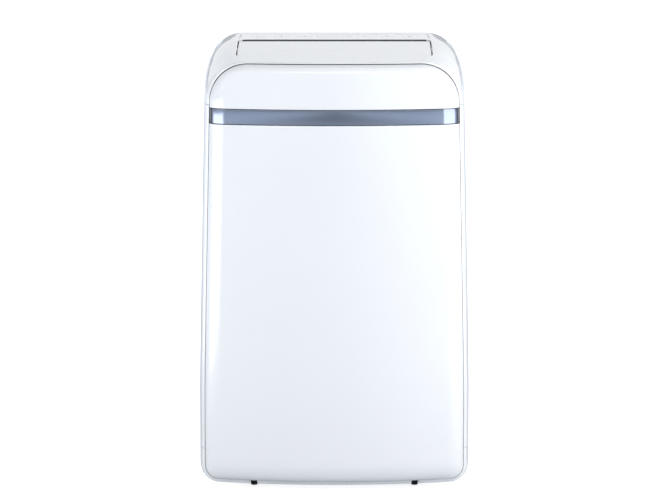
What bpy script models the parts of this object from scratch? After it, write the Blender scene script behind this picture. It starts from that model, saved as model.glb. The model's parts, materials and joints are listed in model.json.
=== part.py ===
"""Portable air conditioner on casters: tall casing, top outlet flap, two blowers, sealed cooling circuit.

Metres, +Z up. The front faces -Y, and the origin is on the floor under the middle of the casing.
"""

import math

import bmesh
import bpy
from mathutils import Matrix, Vector

# ---------------------------------------------------------------- overall
WIDTH = 0.467  # widest, across both side panels
DEPTH = 0.397  # front panel to the hose collar's face
HEIGHT = 0.765  # floor to the top of the casing
FLOOR_GAP = 0.0135  # floor to the underside of the base tray
WALL = 0.003  # thickness of every moulded cover
SEAM = 0.0006  # gap between neighbouring covers
PLAY = 0.0004  # gap round a piece that sits in a hole
RUN = 0.0001  # radial gap of a pin that turns in its hole
TOUCH = 0.0003  # gap between pieces that rest on each other

# ---------------------------------------------------------------- casing outline
TOP_RADIUS = 0.058  # upper corners, seen from the front, at the middle of the depth
RIM_RADIUS = 0.068  # the same corners at the front rim
BOTTOM_RADIUS = 0.027  # lower corners
REAR_RADIUS = 0.026  # round edge between the casing and its rear face
SIDE_LEAN = 0.0230  # how far the sides lean in for each unit of height
LEAN_FROM = 0.15  # height where the sides begin to lean
LEAN_BLEND = 0.05
RIM_INSET = 0.0064  # rim half-width is this much less than the casing's
RIM_FACE = 0.0045  # width of the rim face round the front
RIM_DROP = 0.0255  # rim top below the casing top
RIM_SETBACK = 0.0225  # rim behind the front panel's foremost line
BOW = 0.032  # how far the front is bowed, middle to edge
COLLAR_PROUD = 0.007  # hose collar beyond the rear face
SWELL = (  # depth behind the rim, then the shares of the rim's inset, drop and bow left there
    (0.0225, 0.52, 0.88, 0.66),
    (0.0625, 0.12, 0.65, 0.26),
    (0.1075, 0.0, 0.37, 0.0),
    (0.1775, 0.0, 0.06, 0.0),
    (0.2125, 0.0, 0.0, 0.0),
)
FLAT_STEPS = 3
CORNER_STEPS = 7
SIDE_STEPS = 5

# ---------------------------------------------------------------- front
PANEL_GAP = 0.0006  # front panels to the rim
EDGE_SETBACK = 0.020  # how far the rounded edge turns back
EDGE_SIDE = 0.028  # width of the rounded edge at the sides
EDGE_TOP = 0.014
EDGE_BOTTOM = 0.032
PANEL_RETURN = 0.008  # lip that runs back inside the rim
RETURN_TAPER = 0.0035  # how far that lip leans in
LIP_HEIGHT = 0.0065  # base lip showing below the front panel
TRIM_HEIGHT = 0.0252
TRIM_BELOW_TOP = 0.1292  # casing top to the bottom of the trim band
TRIM_GROOVE = 0.0010  # groove above and below the band
TRIM_RECESS = 0.0008

# ---------------------------------------------------------------- seams of the casing
BASE_HEIGHT = 0.0585  # base tray, from its underside to its seam
TOP_SEAM_BELOW = 0.099  # casing top to the seam of the top cover
REAR_SEAM = 0.045  # side panels end this far before the rear face

# ---------------------------------------------------------------- outlet flap, duct and vanes
FLAP_LAND = 0.068  # casing side to the end of the flap
FLAP_DEPTH = 0.142
FLAP_THICK = 0.0042
FLAP_SINK = 0.0008
FLAP_RADIUS = 0.016
FLAP_SIDE_GAP = 0.0020
FLAP_FRONT_GAP = 0.0018
FLAP_REAR_GAP = 0.0050
FLAP_SETBACK = 0.068  # front edge of the flap behind the front panel
FLAP_PIVOT_DROP = 0.014  # pivot below the casing's surface
FLAP_PIN_RADIUS = 0.0030
FLAP_EAR = 0.005
FLAP_MOTOR_RADIUS = 0.012
FLAP_MOTOR_LENGTH = 0.0125
DUCT_WALL = 0.0022
DUCT_ROOM = 0.004  # duct to the flap opening
DUCT_HEIGHT = 0.132  # from the casing top to the duct floor
VANE_COUNT = 5
VANE_HEIGHT = 0.040
VANE_THICK = 0.0016
VANE_END_GAP = 0.006
VANE_PIN_RADIUS = 0.0020
VANE_ABOVE_FLOOR = 0.027  # vane pivot above the duct floor
LINK_ARM = 0.013  # vane pivot to its link pin
LINK_THICK = 0.0018
LINK_HEIGHT = 0.010
LINK_SLOT = 0.0056  # height of the slots that the link pins run in
LINK_PLAY = 0.0003

# ---------------------------------------------------------------- control panel
PANEL_FRONT_LAND = 0.006  # outlet opening to the control panel
PANEL_REAR_LAND = 0.060  # control panel to the rear face
PANEL_THICK = 0.0025
PANEL_SINK = 0.0006  # below the casing top
PANEL_RADIUS = 0.010
BUTTON_WIDTH = 0.025
BUTTON_DEPTH = 0.014
BUTTON_PROUD = 0.0005
BUTTON_TRAVEL = 0.0010
BUTTON_TALL = 0.0060
DISPLAY_WIDTH = 0.058
DISPLAY_DEPTH = 0.026
BOARD_DROP = 0.012
BOARD_THICK = 0.0016
POST_RADIUS = 0.0025
POST_GAP = 0.0015  # a board post outside the flange of the outermost button
BOARD_BEYOND = 0.0030  # ends of the board outside the middle of its posts
BUTTON_LAP = 0.0008  # a button's flange beyond its cap, at the sides

# ---------------------------------------------------------------- rear
GRILLE_LAND = 0.0685  # casing side to the grilles
GRILLE_FRAME = 0.010
GRILLE_PROUD = 0.0020
GRILLE_THICK = 0.0080
SLOT_PITCH = 0.0125
SLOT_HEIGHT = 0.0075
FILTER_THICK = 0.004
FILTER_RIB = 0.006
UPPER_GRILLE_LOW = 0.022  # upper grille above the drip tray
UPPER_GRILLE_HIGH = 0.018  # upper grille below the top seam
LOWER_GRILLE_LOW = 0.088
COLLAR_RADIUS = 0.075  # bore of the hose collar
COLLAR_WALL = 0.003
COLLAR_FLANGE = 0.009
COLLAR_TRAY_GAP = 0.005  # collar flange to the drip tray
COLLAR_DEEP = 0.022
CORD_LAND = 0.062  # casing side to the cord hooks and gland
HOOK_SPREAD = 0.047  # hooks above and below the hose collar's centre
GLAND_RISE = 0.098  # gland above the hose collar's centre
GLAND_RADIUS = 0.009
DRAIN_RADIUS = 0.008
DRAIN_LAND = 0.075
LOWER_DRAIN_SIDE = 0.060

# ---------------------------------------------------------------- handles
HANDLE_LENGTH = 0.120
HANDLE_HEIGHT = 0.036
HANDLE_DEEP = 0.022
HANDLE_BELOW_TOP = 0.205
HANDLE_BACK = 0.215  # centre behind the front panel

# ---------------------------------------------------------------- inside
COIL_DEPTH = 0.026
COIL_BEHIND = 0.045  # rear face of a coil before the rear face
COIL_LAND = 0.080
BEND_RADIUS = 0.0042  # return bends of the coil's tubes
BEND_REACH = 0.010
BEND_COUNT = 2  # at each end of a coil
BEND_LAND = 0.022  # outermost return bends from the ends of a coil's height
WHEEL_DEPTH = 0.058
BLADE_COUNT = 12
BLADE_THICK = 0.0022
BLADE_LENGTH = 0.014
BLOWER_GAP = 0.008  # wheel to its scroll
BLOWER_WALL = 0.0025
UPPER_BLOWER_BACK = 0.105  # front face of the upper scroll behind the front panel
LOWER_BLOWER_AHEAD = 0.158  # front face of the lower scroll before the rear face
LOWER_WHEEL_RADIUS = 0.076
LOWER_WHEEL_SIDE = 0.052
LOWER_WHEEL_ABOVE = 0.106  # centre above the base tray's underside, where the caster wells leave room
DOME_GAP = 0.002  # lower scroll to the caster wells
MOTOR_RADIUS = 0.038
MOTOR_LENGTH = 0.046
SHAFT_RADIUS = 0.004
TRAY_UNDER = 0.4055  # floor to the underside of the drip tray
TRAY_DEEP = 0.014
TRAY_SIDE_LAND = 0.034
TRAY_FRONT_LAND = 0.062
TRAY_REAR_LAND = 0.016
COMPRESSOR_RADIUS = 0.050
COMPRESSOR_HEIGHT = 0.190
COMPRESSOR_LAND = 0.086
COMPRESSOR_BACK = 0.175
FOOT_HEIGHT = 0.010
PIPE_RADIUS = 0.0035
STUB_INSET = 0.006  # pipe ends from the end of a coil
BOX_WIDTH = 0.048
BOX_DEPTH = 0.110
BOX_HEIGHT = 0.110

# ---------------------------------------------------------------- casters
CASTER_LAND = 0.0945  # casing side to the swivel axis
CASTER_PANEL_GAP = 0.0014  # caster well to the front panel's lip
CASTER_REAR = 0.070  # swivel axis before the rear face
CASTER_TRAIL = 0.008
ROLLER_RADIUS = 0.0155
ROLLER_WIDTH = 0.0118
HOOD_RADIUS = 0.019
HOOD_BOTTOM = 0.0080
HOOD_ROOF = 0.0035
ROLLER_CLEAR = 0.0010  # wheel to the hood's roof
NOTCH_SIDE = 0.0007  # notch in the base's front lip, beyond the sides of a front wheel
NOTCH_ABOVE_LIP = 0.0006  # top of the notch above the lip's upper edge
STEM_RADIUS = 0.005
STEM_LENGTH = 0.014
AXLE_RADIUS = 0.0020
AXLE_LENGTH = 0.030
WELL_GAP = 0.003

# ---------------------------------------------------------------- places that follow from these
FRONT_Y = -DEPTH / 2
REAR_Y = DEPTH / 2 - COLLAR_PROUD
HALF = WIDTH / 2
RIM_HALF = HALF - RIM_INSET
RIM_TOP = HEIGHT - RIM_DROP
BASE_SEAM = FLOOR_GAP + BASE_HEIGHT
TOP_SEAM = HEIGHT - TOP_SEAM_BELOW
REAR_SPLIT = REAR_Y - REAR_SEAM
TRIM_LOW = HEIGHT - TRIM_BELOW_TOP
TRIM_HIGH = TRIM_LOW + TRIM_HEIGHT
FRONT_HALF = RIM_HALF - RIM_FACE - PANEL_GAP
FLOOR = FLOOR_GAP + WALL
TRAY_TOP = TRAY_UNDER + TRAY_DEEP
HOOD_TOP = 2 * ROLLER_RADIUS + ROLLER_CLEAR + HOOD_ROOF
WELL_RADIUS = math.hypot(CASTER_TRAIL + ROLLER_RADIUS, ROLLER_WIDTH / 2) + WELL_GAP
WELL_TOP = HOOD_TOP + TOUCH
CASTER_X = HALF - CASTER_LAND
DOME_REACH = (CASTER_X + WELL_RADIUS + WALL) / FRONT_HALF
LIP_SETBACK = EDGE_SETBACK + PANEL_RETURN + BOW * DOME_REACH**2
CASTER_FRONT = LIP_SETBACK + CASTER_PANEL_GAP + WELL_RADIUS + WALL

for old in list(bpy.data.objects):
    bpy.data.objects.remove(old, do_unlink=True)

parts = bpy.data.collections.new("portable_air_conditioner")
cutters = bpy.data.collections.new("cutters")
bpy.context.scene.collection.children.link(parts)
bpy.context.scene.collection.children.link(cutters)


# ---------------------------------------------------------------- materials
def add_object(name, mesh, finish=None):
    """A new part with its own material, or a hidden cutter where no finish is given."""
    made = bpy.data.objects.new(name, mesh)
    (parts if finish else cutters).objects.link(made)
    if not finish:
        made.hide_render = True
        made.display_type = "WIRE"
        return made
    colour, roughness, metallic = finish
    own = bpy.data.materials.new(name)
    own.use_nodes = True
    shader = own.node_tree.nodes["Principled BSDF"]
    shader.inputs["Base Color"].default_value = (*colour, 1.0)
    shader.inputs["Roughness"].default_value = roughness
    shader.inputs["Metallic"].default_value = metallic
    mesh.materials.append(own)
    return made


WHITE = ((0.86, 0.88, 0.91), 0.28, 0.0)
TRIM = ((0.35, 0.40, 0.50), 0.22, 0.9)
GREY = ((0.45, 0.46, 0.48), 0.5, 0.0)
DARK = ((0.05, 0.055, 0.065), 0.5, 0.0)
RUBBER = ((0.03, 0.03, 0.033), 0.75, 0.0)
SMOKE = ((0.10, 0.11, 0.13), 0.1, 0.0)
MESH_GREY = ((0.30, 0.31, 0.33), 0.8, 0.0)
FINS = ((0.72, 0.73, 0.74), 0.4, 0.9)
STEEL = ((0.55, 0.56, 0.57), 0.4, 0.9)
BLACK_STEEL = ((0.02, 0.02, 0.022), 0.45, 0.2)
COPPER = ((0.72, 0.38, 0.24), 0.3, 1.0)
BOARD = ((0.05, 0.22, 0.11), 0.5, 0.0)


# ---------------------------------------------------------------- helpers
def mesh_from(name, work, smooth=True):
    bmesh.ops.recalc_face_normals(work, faces=work.faces)
    mesh = bpy.data.meshes.new(name)
    work.to_mesh(mesh)
    work.free()
    if smooth:
        mesh.shade_smooth()
        mesh.set_sharp_from_angle(angle=math.radians(35))
    return mesh


def box(name, low, high, finish=None, bevel=0.0):
    """A box between two corners, its edges rounded where bevel is given, with its origin in the middle."""
    work = bmesh.new()
    bmesh.ops.create_cube(work, size=1.0)
    low, high = Vector(low), Vector(high)
    bmesh.ops.scale(work, vec=high - low, verts=work.verts)
    if bevel:
        bmesh.ops.bevel(work, geom=work.edges[:], offset=bevel, segments=1, profile=0.5, affect="EDGES")
    made = add_object(name, mesh_from(name, work, smooth=False), finish)
    made.location = (low + high) / 2
    return made


AXIS_TURN = {
    "X": Matrix.Rotation(math.radians(90), 3, "Y"),
    "Y": Matrix.Rotation(math.radians(-90), 3, "X"),
    "Z": Matrix.Identity(3),
}


def rod(name, start, length, radius, axis, finish=None, sides=24, end_radius=None):
    """A cylinder or cone that runs from start along +axis, with its origin at the start."""
    work = bmesh.new()
    end = radius if end_radius is None else end_radius
    bmesh.ops.create_cone(work, cap_ends=True, segments=sides, radius1=radius, radius2=end, depth=length)
    bmesh.ops.rotate(work, cent=(0, 0, 0), matrix=Matrix.Rotation(math.pi / sides, 3, "Z"), verts=work.verts)
    bmesh.ops.translate(work, vec=(0, 0, length / 2), verts=work.verts)
    bmesh.ops.rotate(work, cent=(0, 0, 0), matrix=AXIS_TURN[axis], verts=work.verts)
    made = add_object(name, mesh_from(name, work), finish)
    made.location = start
    return made


def turned(name, profile, origin, axis, finish=None, steps=32):
    """A solid of revolution from a closed profile of (radius, distance along the axis)."""
    place = {"X": lambda r, h: (h, r, 0), "Y": lambda r, h: (r, h, 0), "Z": lambda r, h: (r, 0, h)}[axis]
    on_axis = profile[0][0] < 1e-6
    count = len(profile)
    edges = [(i, (i + 1) % count) for i in range(count - 1 if on_axis else count)]
    mesh = bpy.data.meshes.new(name)
    mesh.from_pydata([place(r, h) for r, h in profile], edges, [])
    made = add_object(name, mesh, finish)
    screw = made.modifiers.new("Turn", "SCREW")
    screw.axis = axis
    screw.steps = screw.render_steps = steps
    screw.use_merge_vertices = True
    screw.merge_threshold = 0.00005
    screw.use_normal_flip = axis == "Y"
    made.location = origin
    return made


def rounded(half_u, half_v, radius, steps=4):
    """The outline of a rectangle with round corners."""
    points = []
    for quarter, (su, sv) in enumerate(((1, 1), (-1, 1), (-1, -1), (1, -1))):
        for i in range(steps + 1):
            turn = math.radians(90) * (quarter + i / steps)
            points.append(
                (
                    su * (half_u - radius) + radius * math.cos(turn),
                    sv * (half_v - radius) + radius * math.sin(turn),
                )
            )
    return points


OUTLINE_PLACE = {
    "X": lambda u, v, w: (w, u, v),
    "Y": lambda u, v, w: (u, w, v),
    "Z": lambda u, v, w: (u, v, w),
}


def plate(name, outline, low, high, origin, axis, finish=None):
    """An outline of (u, v) points round the origin, extruded along the axis from low to high."""
    work = bmesh.new()
    place = OUTLINE_PLACE[axis]
    face = work.faces.new([work.verts.new(place(u, v, low)) for u, v in outline])
    grown = bmesh.ops.extrude_face_region(work, geom=[face])
    top = [v for v in grown["geom"] if isinstance(v, bmesh.types.BMVert)]
    bmesh.ops.translate(work, vec=place(0, 0, high - low), verts=top)
    if len(work.faces) < len(outline) + 2:
        work.faces.new(work.verts[: len(outline)])
    made = add_object(name, mesh_from(name, work), finish)
    made.location = origin
    return made


def tube(name, points, radius, finish=None):
    """A round pipe along a list of points."""
    curve = bpy.data.curves.new(name, "CURVE")
    curve.dimensions = "3D"
    curve.bevel_depth = radius
    curve.bevel_resolution = 1
    curve.use_fill_caps = True
    spline = curve.splines.new("POLY")
    spline.points.add(len(points) - 1)
    for point, place in zip(spline.points, points):
        point.co = (*place, 1)
    guide = bpy.data.objects.new(name + "_line", curve)
    cutters.objects.link(guide)
    bpy.context.view_layer.update()
    graph = bpy.context.evaluated_depsgraph_get()
    mesh = bpy.data.meshes.new_from_object(guide.evaluated_get(graph))
    bpy.data.objects.remove(guide, do_unlink=True)
    work = bmesh.new()
    work.from_mesh(mesh)
    bmesh.ops.remove_doubles(work, verts=work.verts, dist=0.00005)
    bpy.data.meshes.remove(mesh)
    return add_object(name, mesh_from(name, work), finish)


def bent(*corners, radius=0.018, steps=3):
    """Points of a pipe that runs through the corners, with each inner corner rounded."""
    corners = [Vector(c) for c in corners]
    points = [corners[0]]
    for before, corner, after in zip(corners, corners[1:], corners[2:]):
        start = corner + (before - corner).normalized() * radius
        end = corner + (after - corner).normalized() * radius
        for i in range(steps + 1):
            t = i / steps
            points.append(start * (1 - t) ** 2 + corner * 2 * t * (1 - t) + end * t**2)
    return points + [corners[-1]]


def together(name, tools):
    """One cutter made of several that stand clear of each other."""
    work = bmesh.new()
    for tool in tools:
        mesh = tool.data
        mesh.transform(tool.matrix_basis)
        work.from_mesh(mesh)
        bpy.data.objects.remove(tool, do_unlink=True)
        bpy.data.meshes.remove(mesh)
    return add_object(name, mesh_from(name, work))


def boolean(target, tools, operation):
    for tool in tools:
        step = target.modifiers.new(operation.title(), "BOOLEAN")
        step.operation = operation
        step.solver = "EXACT"
        step.object = tool
    return target


def cut(target, *tools):
    return boolean(target, tools, "DIFFERENCE")


def join(target, *tools):
    return boolean(target, tools, "UNION")


def keep(target, *tools):
    return boolean(target, tools, "INTERSECT")


# ---------------------------------------------------------------- casing and front surfaces
def lean(z):
    """How far a side has leant in at height z."""
    rise = max(0.0, z - LEAN_FROM)
    return SIDE_LEAN * (math.hypot(rise, LEAN_BLEND) - LEAN_BLEND)


def section(half_width, low, high, low_radius, high_radius, setback, bow):
    """A closed ring round the casing: its middle is setback behind the front, its ends bow further back."""
    side_low, side_high = low + low_radius, high - high_radius
    flat_low = half_width - low_radius
    flat_high = half_width - lean(side_high) - high_radius
    right = [(flat_low * k / FLAT_STEPS, low) for k in range(FLAT_STEPS + 1)]
    for i in range(1, CORNER_STEPS + 1):
        turn = math.radians(90) * i / CORNER_STEPS
        right.append((flat_low + low_radius * math.sin(turn), side_low - low_radius * math.cos(turn)))
    for i in range(1, SIDE_STEPS):
        z = side_low + (side_high - side_low) * i / SIDE_STEPS
        right.append((half_width - lean(z), z))
    for i in range(CORNER_STEPS + 1):
        turn = math.radians(90) * i / CORNER_STEPS
        right.append((flat_high + high_radius * math.cos(turn), side_high + high_radius * math.sin(turn)))
    right += [(flat_high * k / FLAT_STEPS, high) for k in range(FLAT_STEPS - 1, -1, -1)]
    left = [(-x, z) for x, z in reversed(right[1:-1])]
    return [Vector((x, FRONT_Y + setback + bow * (x / half_width) ** 2, z)) for x, z in right + left]


def casing_rings():
    """Rings of the casing, from the inner edge of its front rim to its flat rear face."""
    rings = [
        section(
            RIM_HALF - RIM_FACE,
            FLOOR_GAP + LIP_HEIGHT - PANEL_GAP,
            RIM_TOP - RIM_FACE * 0.5,
            BOTTOM_RADIUS - RIM_FACE,
            RIM_RADIUS - RIM_FACE * 0.5,
            RIM_SETBACK - 0.001,
            BOW * ((RIM_HALF - RIM_FACE) / RIM_HALF) ** 2,
        ),
        section(RIM_HALF, FLOOR_GAP, RIM_TOP, BOTTOM_RADIUS, RIM_RADIUS, RIM_SETBACK, BOW),
    ]
    for behind, inset, drop, bow in SWELL:
        rings.append(
            section(
                HALF - RIM_INSET * inset,
                FLOOR_GAP,
                HEIGHT - RIM_DROP * drop,
                BOTTOM_RADIUS,
                TOP_RADIUS + (RIM_RADIUS - TOP_RADIUS) * drop,
                RIM_SETBACK + behind,
                BOW * bow,
            )
        )
    for degrees in (0, 25, 48, 69, 90):
        turn = math.radians(degrees)
        inset = REAR_RADIUS * (1 - math.cos(turn))
        rings.append(
            section(
                HALF - inset,
                FLOOR_GAP + inset,
                HEIGHT - inset,
                BOTTOM_RADIUS - inset * 0.5,
                TOP_RADIUS - inset * 0.5,
                REAR_Y - REAR_RADIUS * (1 - math.sin(turn)) - FRONT_Y,
                0.0,
            )
        )
    return rings


def front_rings(recess):
    """Rings of the front face, from its return lip inside the rim to where its rounded edge ends."""
    outline = FRONT_HALF - recess
    low = FLOOR_GAP + LIP_HEIGHT + recess
    high = RIM_TOP - RIM_FACE * 0.5 - PANEL_GAP * 2 - recess
    rings = []
    back = section(
        outline - RETURN_TAPER,
        low + RETURN_TAPER,
        high - RETURN_TAPER,
        BOTTOM_RADIUS - RIM_FACE,
        RIM_RADIUS - RIM_FACE * 0.5,
        recess + EDGE_SETBACK + PANEL_RETURN,
        BOW,
    )
    rings.append(back)
    for degrees in (0, 20, 40, 60, 90):
        turn = math.radians(degrees)
        inward = 1 - math.cos(turn)
        half = outline - EDGE_SIDE * inward
        rings.append(
            section(
                half,
                low + EDGE_BOTTOM * inward,
                high - EDGE_TOP * inward,
                BOTTOM_RADIUS - RIM_FACE - EDGE_SIDE * inward * 0.6,
                RIM_RADIUS - RIM_FACE * 0.5 - EDGE_SIDE * inward * 0.6,
                recess + EDGE_SETBACK * (1 - math.sin(turn)),
                BOW * (half / outline) ** 2,
            )
        )
    return rings


def loft(rings, close_start):
    """A surface through the rings. The last ring is filled across, and the first one too if asked."""
    work = bmesh.new()
    loops = [[work.verts.new(place) for place in ring] for ring in rings]
    count = len(loops[0])
    for first, second in zip(loops, loops[1:]):
        for i in range(count):
            j = (i + 1) % count
            work.faces.new((first[i], first[j], second[j], second[i]))
    for loop in [loops[-1]] + ([loops[0]] if close_start else []):
        fill(work, loop)
    return work


def fill(work, loop):
    """Closes a ring with rows of faces that keep its bow."""
    count = len(loop)
    middle = count // 2
    edge = loop[FLAT_STEPS + CORNER_STEPS + 1].co
    centre = loop[0].co.y
    bow = (edge.y - centre) / edge.x**2
    rows = [[loop[k % count] for k in range(-FLAT_STEPS, FLAT_STEPS + 1)]]
    for i in range(FLAT_STEPS + 1, middle - FLAT_STEPS):
        left, right = loop[-i], loop[i]
        inner = []
        for k in range(1 - FLAT_STEPS, FLAT_STEPS):
            x = right.co.x * k / FLAT_STEPS
            inner.append(work.verts.new((x, centre + bow * x * x, right.co.z)))
        rows.append([left] + inner + [right])
    rows.append([loop[middle + k] for k in range(FLAT_STEPS, -FLAT_STEPS - 1, -1)])
    for lower, upper in zip(rows, rows[1:]):
        for k in range(len(lower) - 1):
            work.faces.new((lower[k], lower[k + 1], upper[k + 1], upper[k]))


def walled(name, rings, finish, *limits):
    """A moulded cover: the surface given a wall towards the inside, then kept inside its limits."""
    made = add_object(name, mesh_from(name, loft(rings, close_start=False)), finish)
    wall = made.modifiers.new("Wall", "SOLIDIFY")
    wall.thickness = WALL
    wall.offset = -1.0
    wall.use_even_offset = True
    return keep(made, *limits)


def casing_solid(name, lowered):
    """The casing's outline as a solid, lowered a little."""
    made = add_object(name, mesh_from(name, loft(casing_rings(), close_start=True)))
    made.location.z = -lowered
    return made


def crown(y):
    """Height of the casing's top on its centre line."""
    depth = y - FRONT_Y
    knots = [(RIM_SETBACK, RIM_TOP)] + [(RIM_SETBACK + b, HEIGHT - RIM_DROP * d) for b, _, d, _ in SWELL]
    for (near, low), (far, high) in zip(knots, knots[1:]):
        if depth <= far:
            return low + (high - low) * (depth - near) / (far - near)
    return HEIGHT


BIG = max(WIDTH, DEPTH, HEIGHT)


def region(name, low, high):
    """A box that limits a cover. None stands for beyond the casing."""
    far = [BIG if place is None else place for place in high]
    near = [-BIG if place is None else place for place in low]
    return box(name, near, far)


# ---------------------------------------------------------------- casing
solid = casing_solid("casing_solid", 0.0)
half_seam = SEAM / 2
rings = casing_rings()
base_limit = region("base_limit", (None, None, None), (None, None, BASE_SEAM - half_seam))
rear_limit = region(
    "rear_limit", (None, REAR_SPLIT + half_seam, BASE_SEAM + half_seam), (None, None, TOP_SEAM - half_seam)
)
left_limit = region(
    "left_limit", (None, None, BASE_SEAM + half_seam), (0.0, REAR_SPLIT - half_seam, TOP_SEAM - half_seam)
)
right_limit = region(
    "right_limit", (0.0, None, BASE_SEAM + half_seam), (None, REAR_SPLIT - half_seam, TOP_SEAM - half_seam)
)
top_limit = region("top_limit", (None, None, TOP_SEAM + half_seam), (None, None, None))
base_tray = walled("base_tray", rings, WHITE, base_limit)
rear_panel = walled("rear_panel", rings, WHITE, rear_limit)
left_side_panel = walled("left_side_panel", rings, WHITE, left_limit)
right_side_panel = walled("right_side_panel", rings, WHITE, right_limit)
top_cover = walled("top_cover", rings, WHITE, top_limit)

# ---------------------------------------------------------------- front
walled(
    "front_panel",
    front_rings(0.0),
    WHITE,
    region("panel_limit", (None, None, None), (None, None, TRIM_LOW - TRIM_GROOVE)),
)
walled(
    "front_upper_cover",
    front_rings(0.0),
    WHITE,
    region("cover_limit", (None, None, TRIM_HIGH + TRIM_GROOVE), (None, None, None)),
)
walled(
    "trim_band",
    front_rings(TRIM_RECESS),
    TRIM,
    region("trim_limit", (None, None, TRIM_LOW), (None, None, TRIM_HIGH)),
)

# ---------------------------------------------------------------- outlet flap
flap_half = HALF - FLAP_LAND
flap_front = FRONT_Y + FLAP_SETBACK
pivot_y = flap_front + FLAP_DEPTH / 2
pivot_z = crown(pivot_y) - FLAP_PIVOT_DROP
pivot = (0, pivot_y, pivot_z)
flap_deep = FLAP_DEPTH / 2
flap_solid = casing_solid("flap_solid", FLAP_SINK)
flap = plate("discharge_flap", rounded(flap_half, flap_deep, FLAP_RADIUS), -0.04, 0.04, pivot, "Z", WHITE)
stations = [flap_deep * (k / 4 - 1) * 1.05 for k in range(9)]
under = [(v, crown(pivot_y + v) - FLAP_SINK - FLAP_THICK - pivot_z) for v in stations]
under = [(under[0][0], -0.06)] + under + [(under[-1][0], -0.06)]
flap_under = plate("flap_under", under, -flap_half - 0.01, flap_half + 0.01, pivot, "X")
keep(flap, flap_solid)
cut(flap, flap_under)
duct_half = flap_half + FLAP_SIDE_GAP + DUCT_ROOM
ear_low = pivot_z - FLAP_PIN_RADIUS * 1.6
for side in (-1, 1):
    near, far = sorted((side * (flap_half - FLAP_EAR), side * (flap_half - 0.0002)))
    ear_high = (far, pivot_y + 0.006, crown(pivot_y) - 0.003)
    ear = box(f"flap_ear_{side}", (near, pivot_y - 0.006, ear_low), ear_high)
    pin_start = flap_half - FLAP_EAR if side > 0 else -duct_half - DUCT_WALL
    pin_end = duct_half + DUCT_WALL + 0.006 if side > 0 else -flap_half + FLAP_EAR
    pin = rod(f"flap_pin_{side}", (pin_start, pivot_y, pivot_z), pin_end - pin_start, FLAP_PIN_RADIUS, "X")
    join(flap, ear, pin)
opening_front = flap_front - FLAP_FRONT_GAP
opening_rear = flap_front + FLAP_DEPTH + FLAP_REAR_GAP
opening_mid = (opening_front + opening_rear) / 2
opening_deep = (opening_rear - opening_front) / 2
opening = rounded(flap_half + FLAP_SIDE_GAP, opening_deep, FLAP_RADIUS + FLAP_SIDE_GAP)
cut(top_cover, plate("flap_opening", opening, -0.05, 0.05, (0, opening_mid, HEIGHT), "Z"))

# ---------------------------------------------------------------- outlet duct
duct_low = HEIGHT - DUCT_HEIGHT
duct_front = opening_front - DUCT_ROOM
duct_rear = opening_rear + DUCT_ROOM
duct_outer_half = duct_half + DUCT_WALL
under_cover = casing_solid("under_cover", WALL + TOUCH * 4)
duct = box(
    "outlet_duct",
    (-duct_outer_half, duct_front - DUCT_WALL, duct_low),
    (duct_outer_half, duct_rear + DUCT_WALL, HEIGHT),
    WHITE,
)
duct_hollow = box(
    "duct_hollow", (-duct_half, duct_front, duct_low + DUCT_WALL), (duct_half, duct_rear, HEIGHT + 0.02)
)
keep(duct, under_cover)
cut(duct, duct_hollow)
cut(
    duct,
    rod("pin_holes", (-BIG, pivot_y, pivot_z), 2 * BIG, FLAP_PIN_RADIUS + RUN, "X"),
)
motor_x = duct_outer_half + TOUCH
motor_z = pivot_z - FLAP_MOTOR_RADIUS + 0.001
flap_motor = rod(
    "flap_motor", (motor_x, pivot_y, motor_z), FLAP_MOTOR_LENGTH, FLAP_MOTOR_RADIUS, "X", STEEL, sides=20
)
join(flap_motor, rod("motor_boss", (motor_x, pivot_y, pivot_z), 0.008, FLAP_PIN_RADIUS * 1.7, "X"))
cut(flap_motor, rod("motor_socket", (motor_x - 0.001, pivot_y, pivot_z), 0.0075, FLAP_PIN_RADIUS + RUN, "X"))

# ---------------------------------------------------------------- vanes that aim the air left and right
vane_z = duct_low + DUCT_WALL + VANE_ABOVE_FLOOR
vane_front = duct_front + VANE_END_GAP + LINK_THICK
vane_rear = duct_rear - VANE_END_GAP
vane_pitch = 2 * duct_half / VANE_COUNT
link_y = duct_front + VANE_END_GAP * 0.5
link_z = vane_z - LINK_ARM
link = box(
    "vane_link",
    (-vane_pitch * (VANE_COUNT - 1) / 2 - 0.008, link_y, link_z - LINK_HEIGHT / 2),
    (vane_pitch * (VANE_COUNT - 1) / 2 + 0.008, link_y + LINK_THICK, link_z + LINK_HEIGHT / 2),
    GREY,
)
bores = []
slots = []
for number in range(VANE_COUNT):
    x = vane_pitch * (number - (VANE_COUNT - 1) / 2)
    vane = box(
        f"vane_{number + 1}",
        (x - VANE_THICK / 2, vane_front, vane_z - VANE_HEIGHT / 2),
        (x + VANE_THICK / 2, vane_rear, vane_z + VANE_HEIGHT / 2),
        GREY,
    )
    long_pin = rod(
        f"vane_pin_{number + 1}",
        (x, duct_front - DUCT_WALL, vane_z),
        duct_rear - duct_front + 2 * DUCT_WALL,
        VANE_PIN_RADIUS,
        "Y",
        sides=12,
    )
    link_pin_length = vane_front - link_y + 0.004
    link_pin = rod(
        f"link_pin_{number + 1}", (x, link_y, link_z), link_pin_length, VANE_PIN_RADIUS * 0.8, "Y", sides=8
    )
    join(vane, long_pin, link_pin)
    reach = duct_rear - duct_front + 4 * DUCT_WALL
    start = (x, duct_front - 2 * DUCT_WALL, vane_z)
    bores.append(rod(f"vane_bore_{number + 1}", start, reach, VANE_PIN_RADIUS + RUN, "Y", sides=12))
    slot_half = VANE_PIN_RADIUS * 0.8 + LINK_PLAY
    slots.append(
        box(
            f"link_slot_{number + 1}",
            (x - slot_half, link_y - 0.001, link_z - slot_half),
            (x + slot_half, link_y + LINK_THICK + 0.001, link_z + LINK_SLOT - slot_half),
        )
    )
cut(duct, together("vane_bores", bores))
cut(link, together("link_slots", slots))

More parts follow.
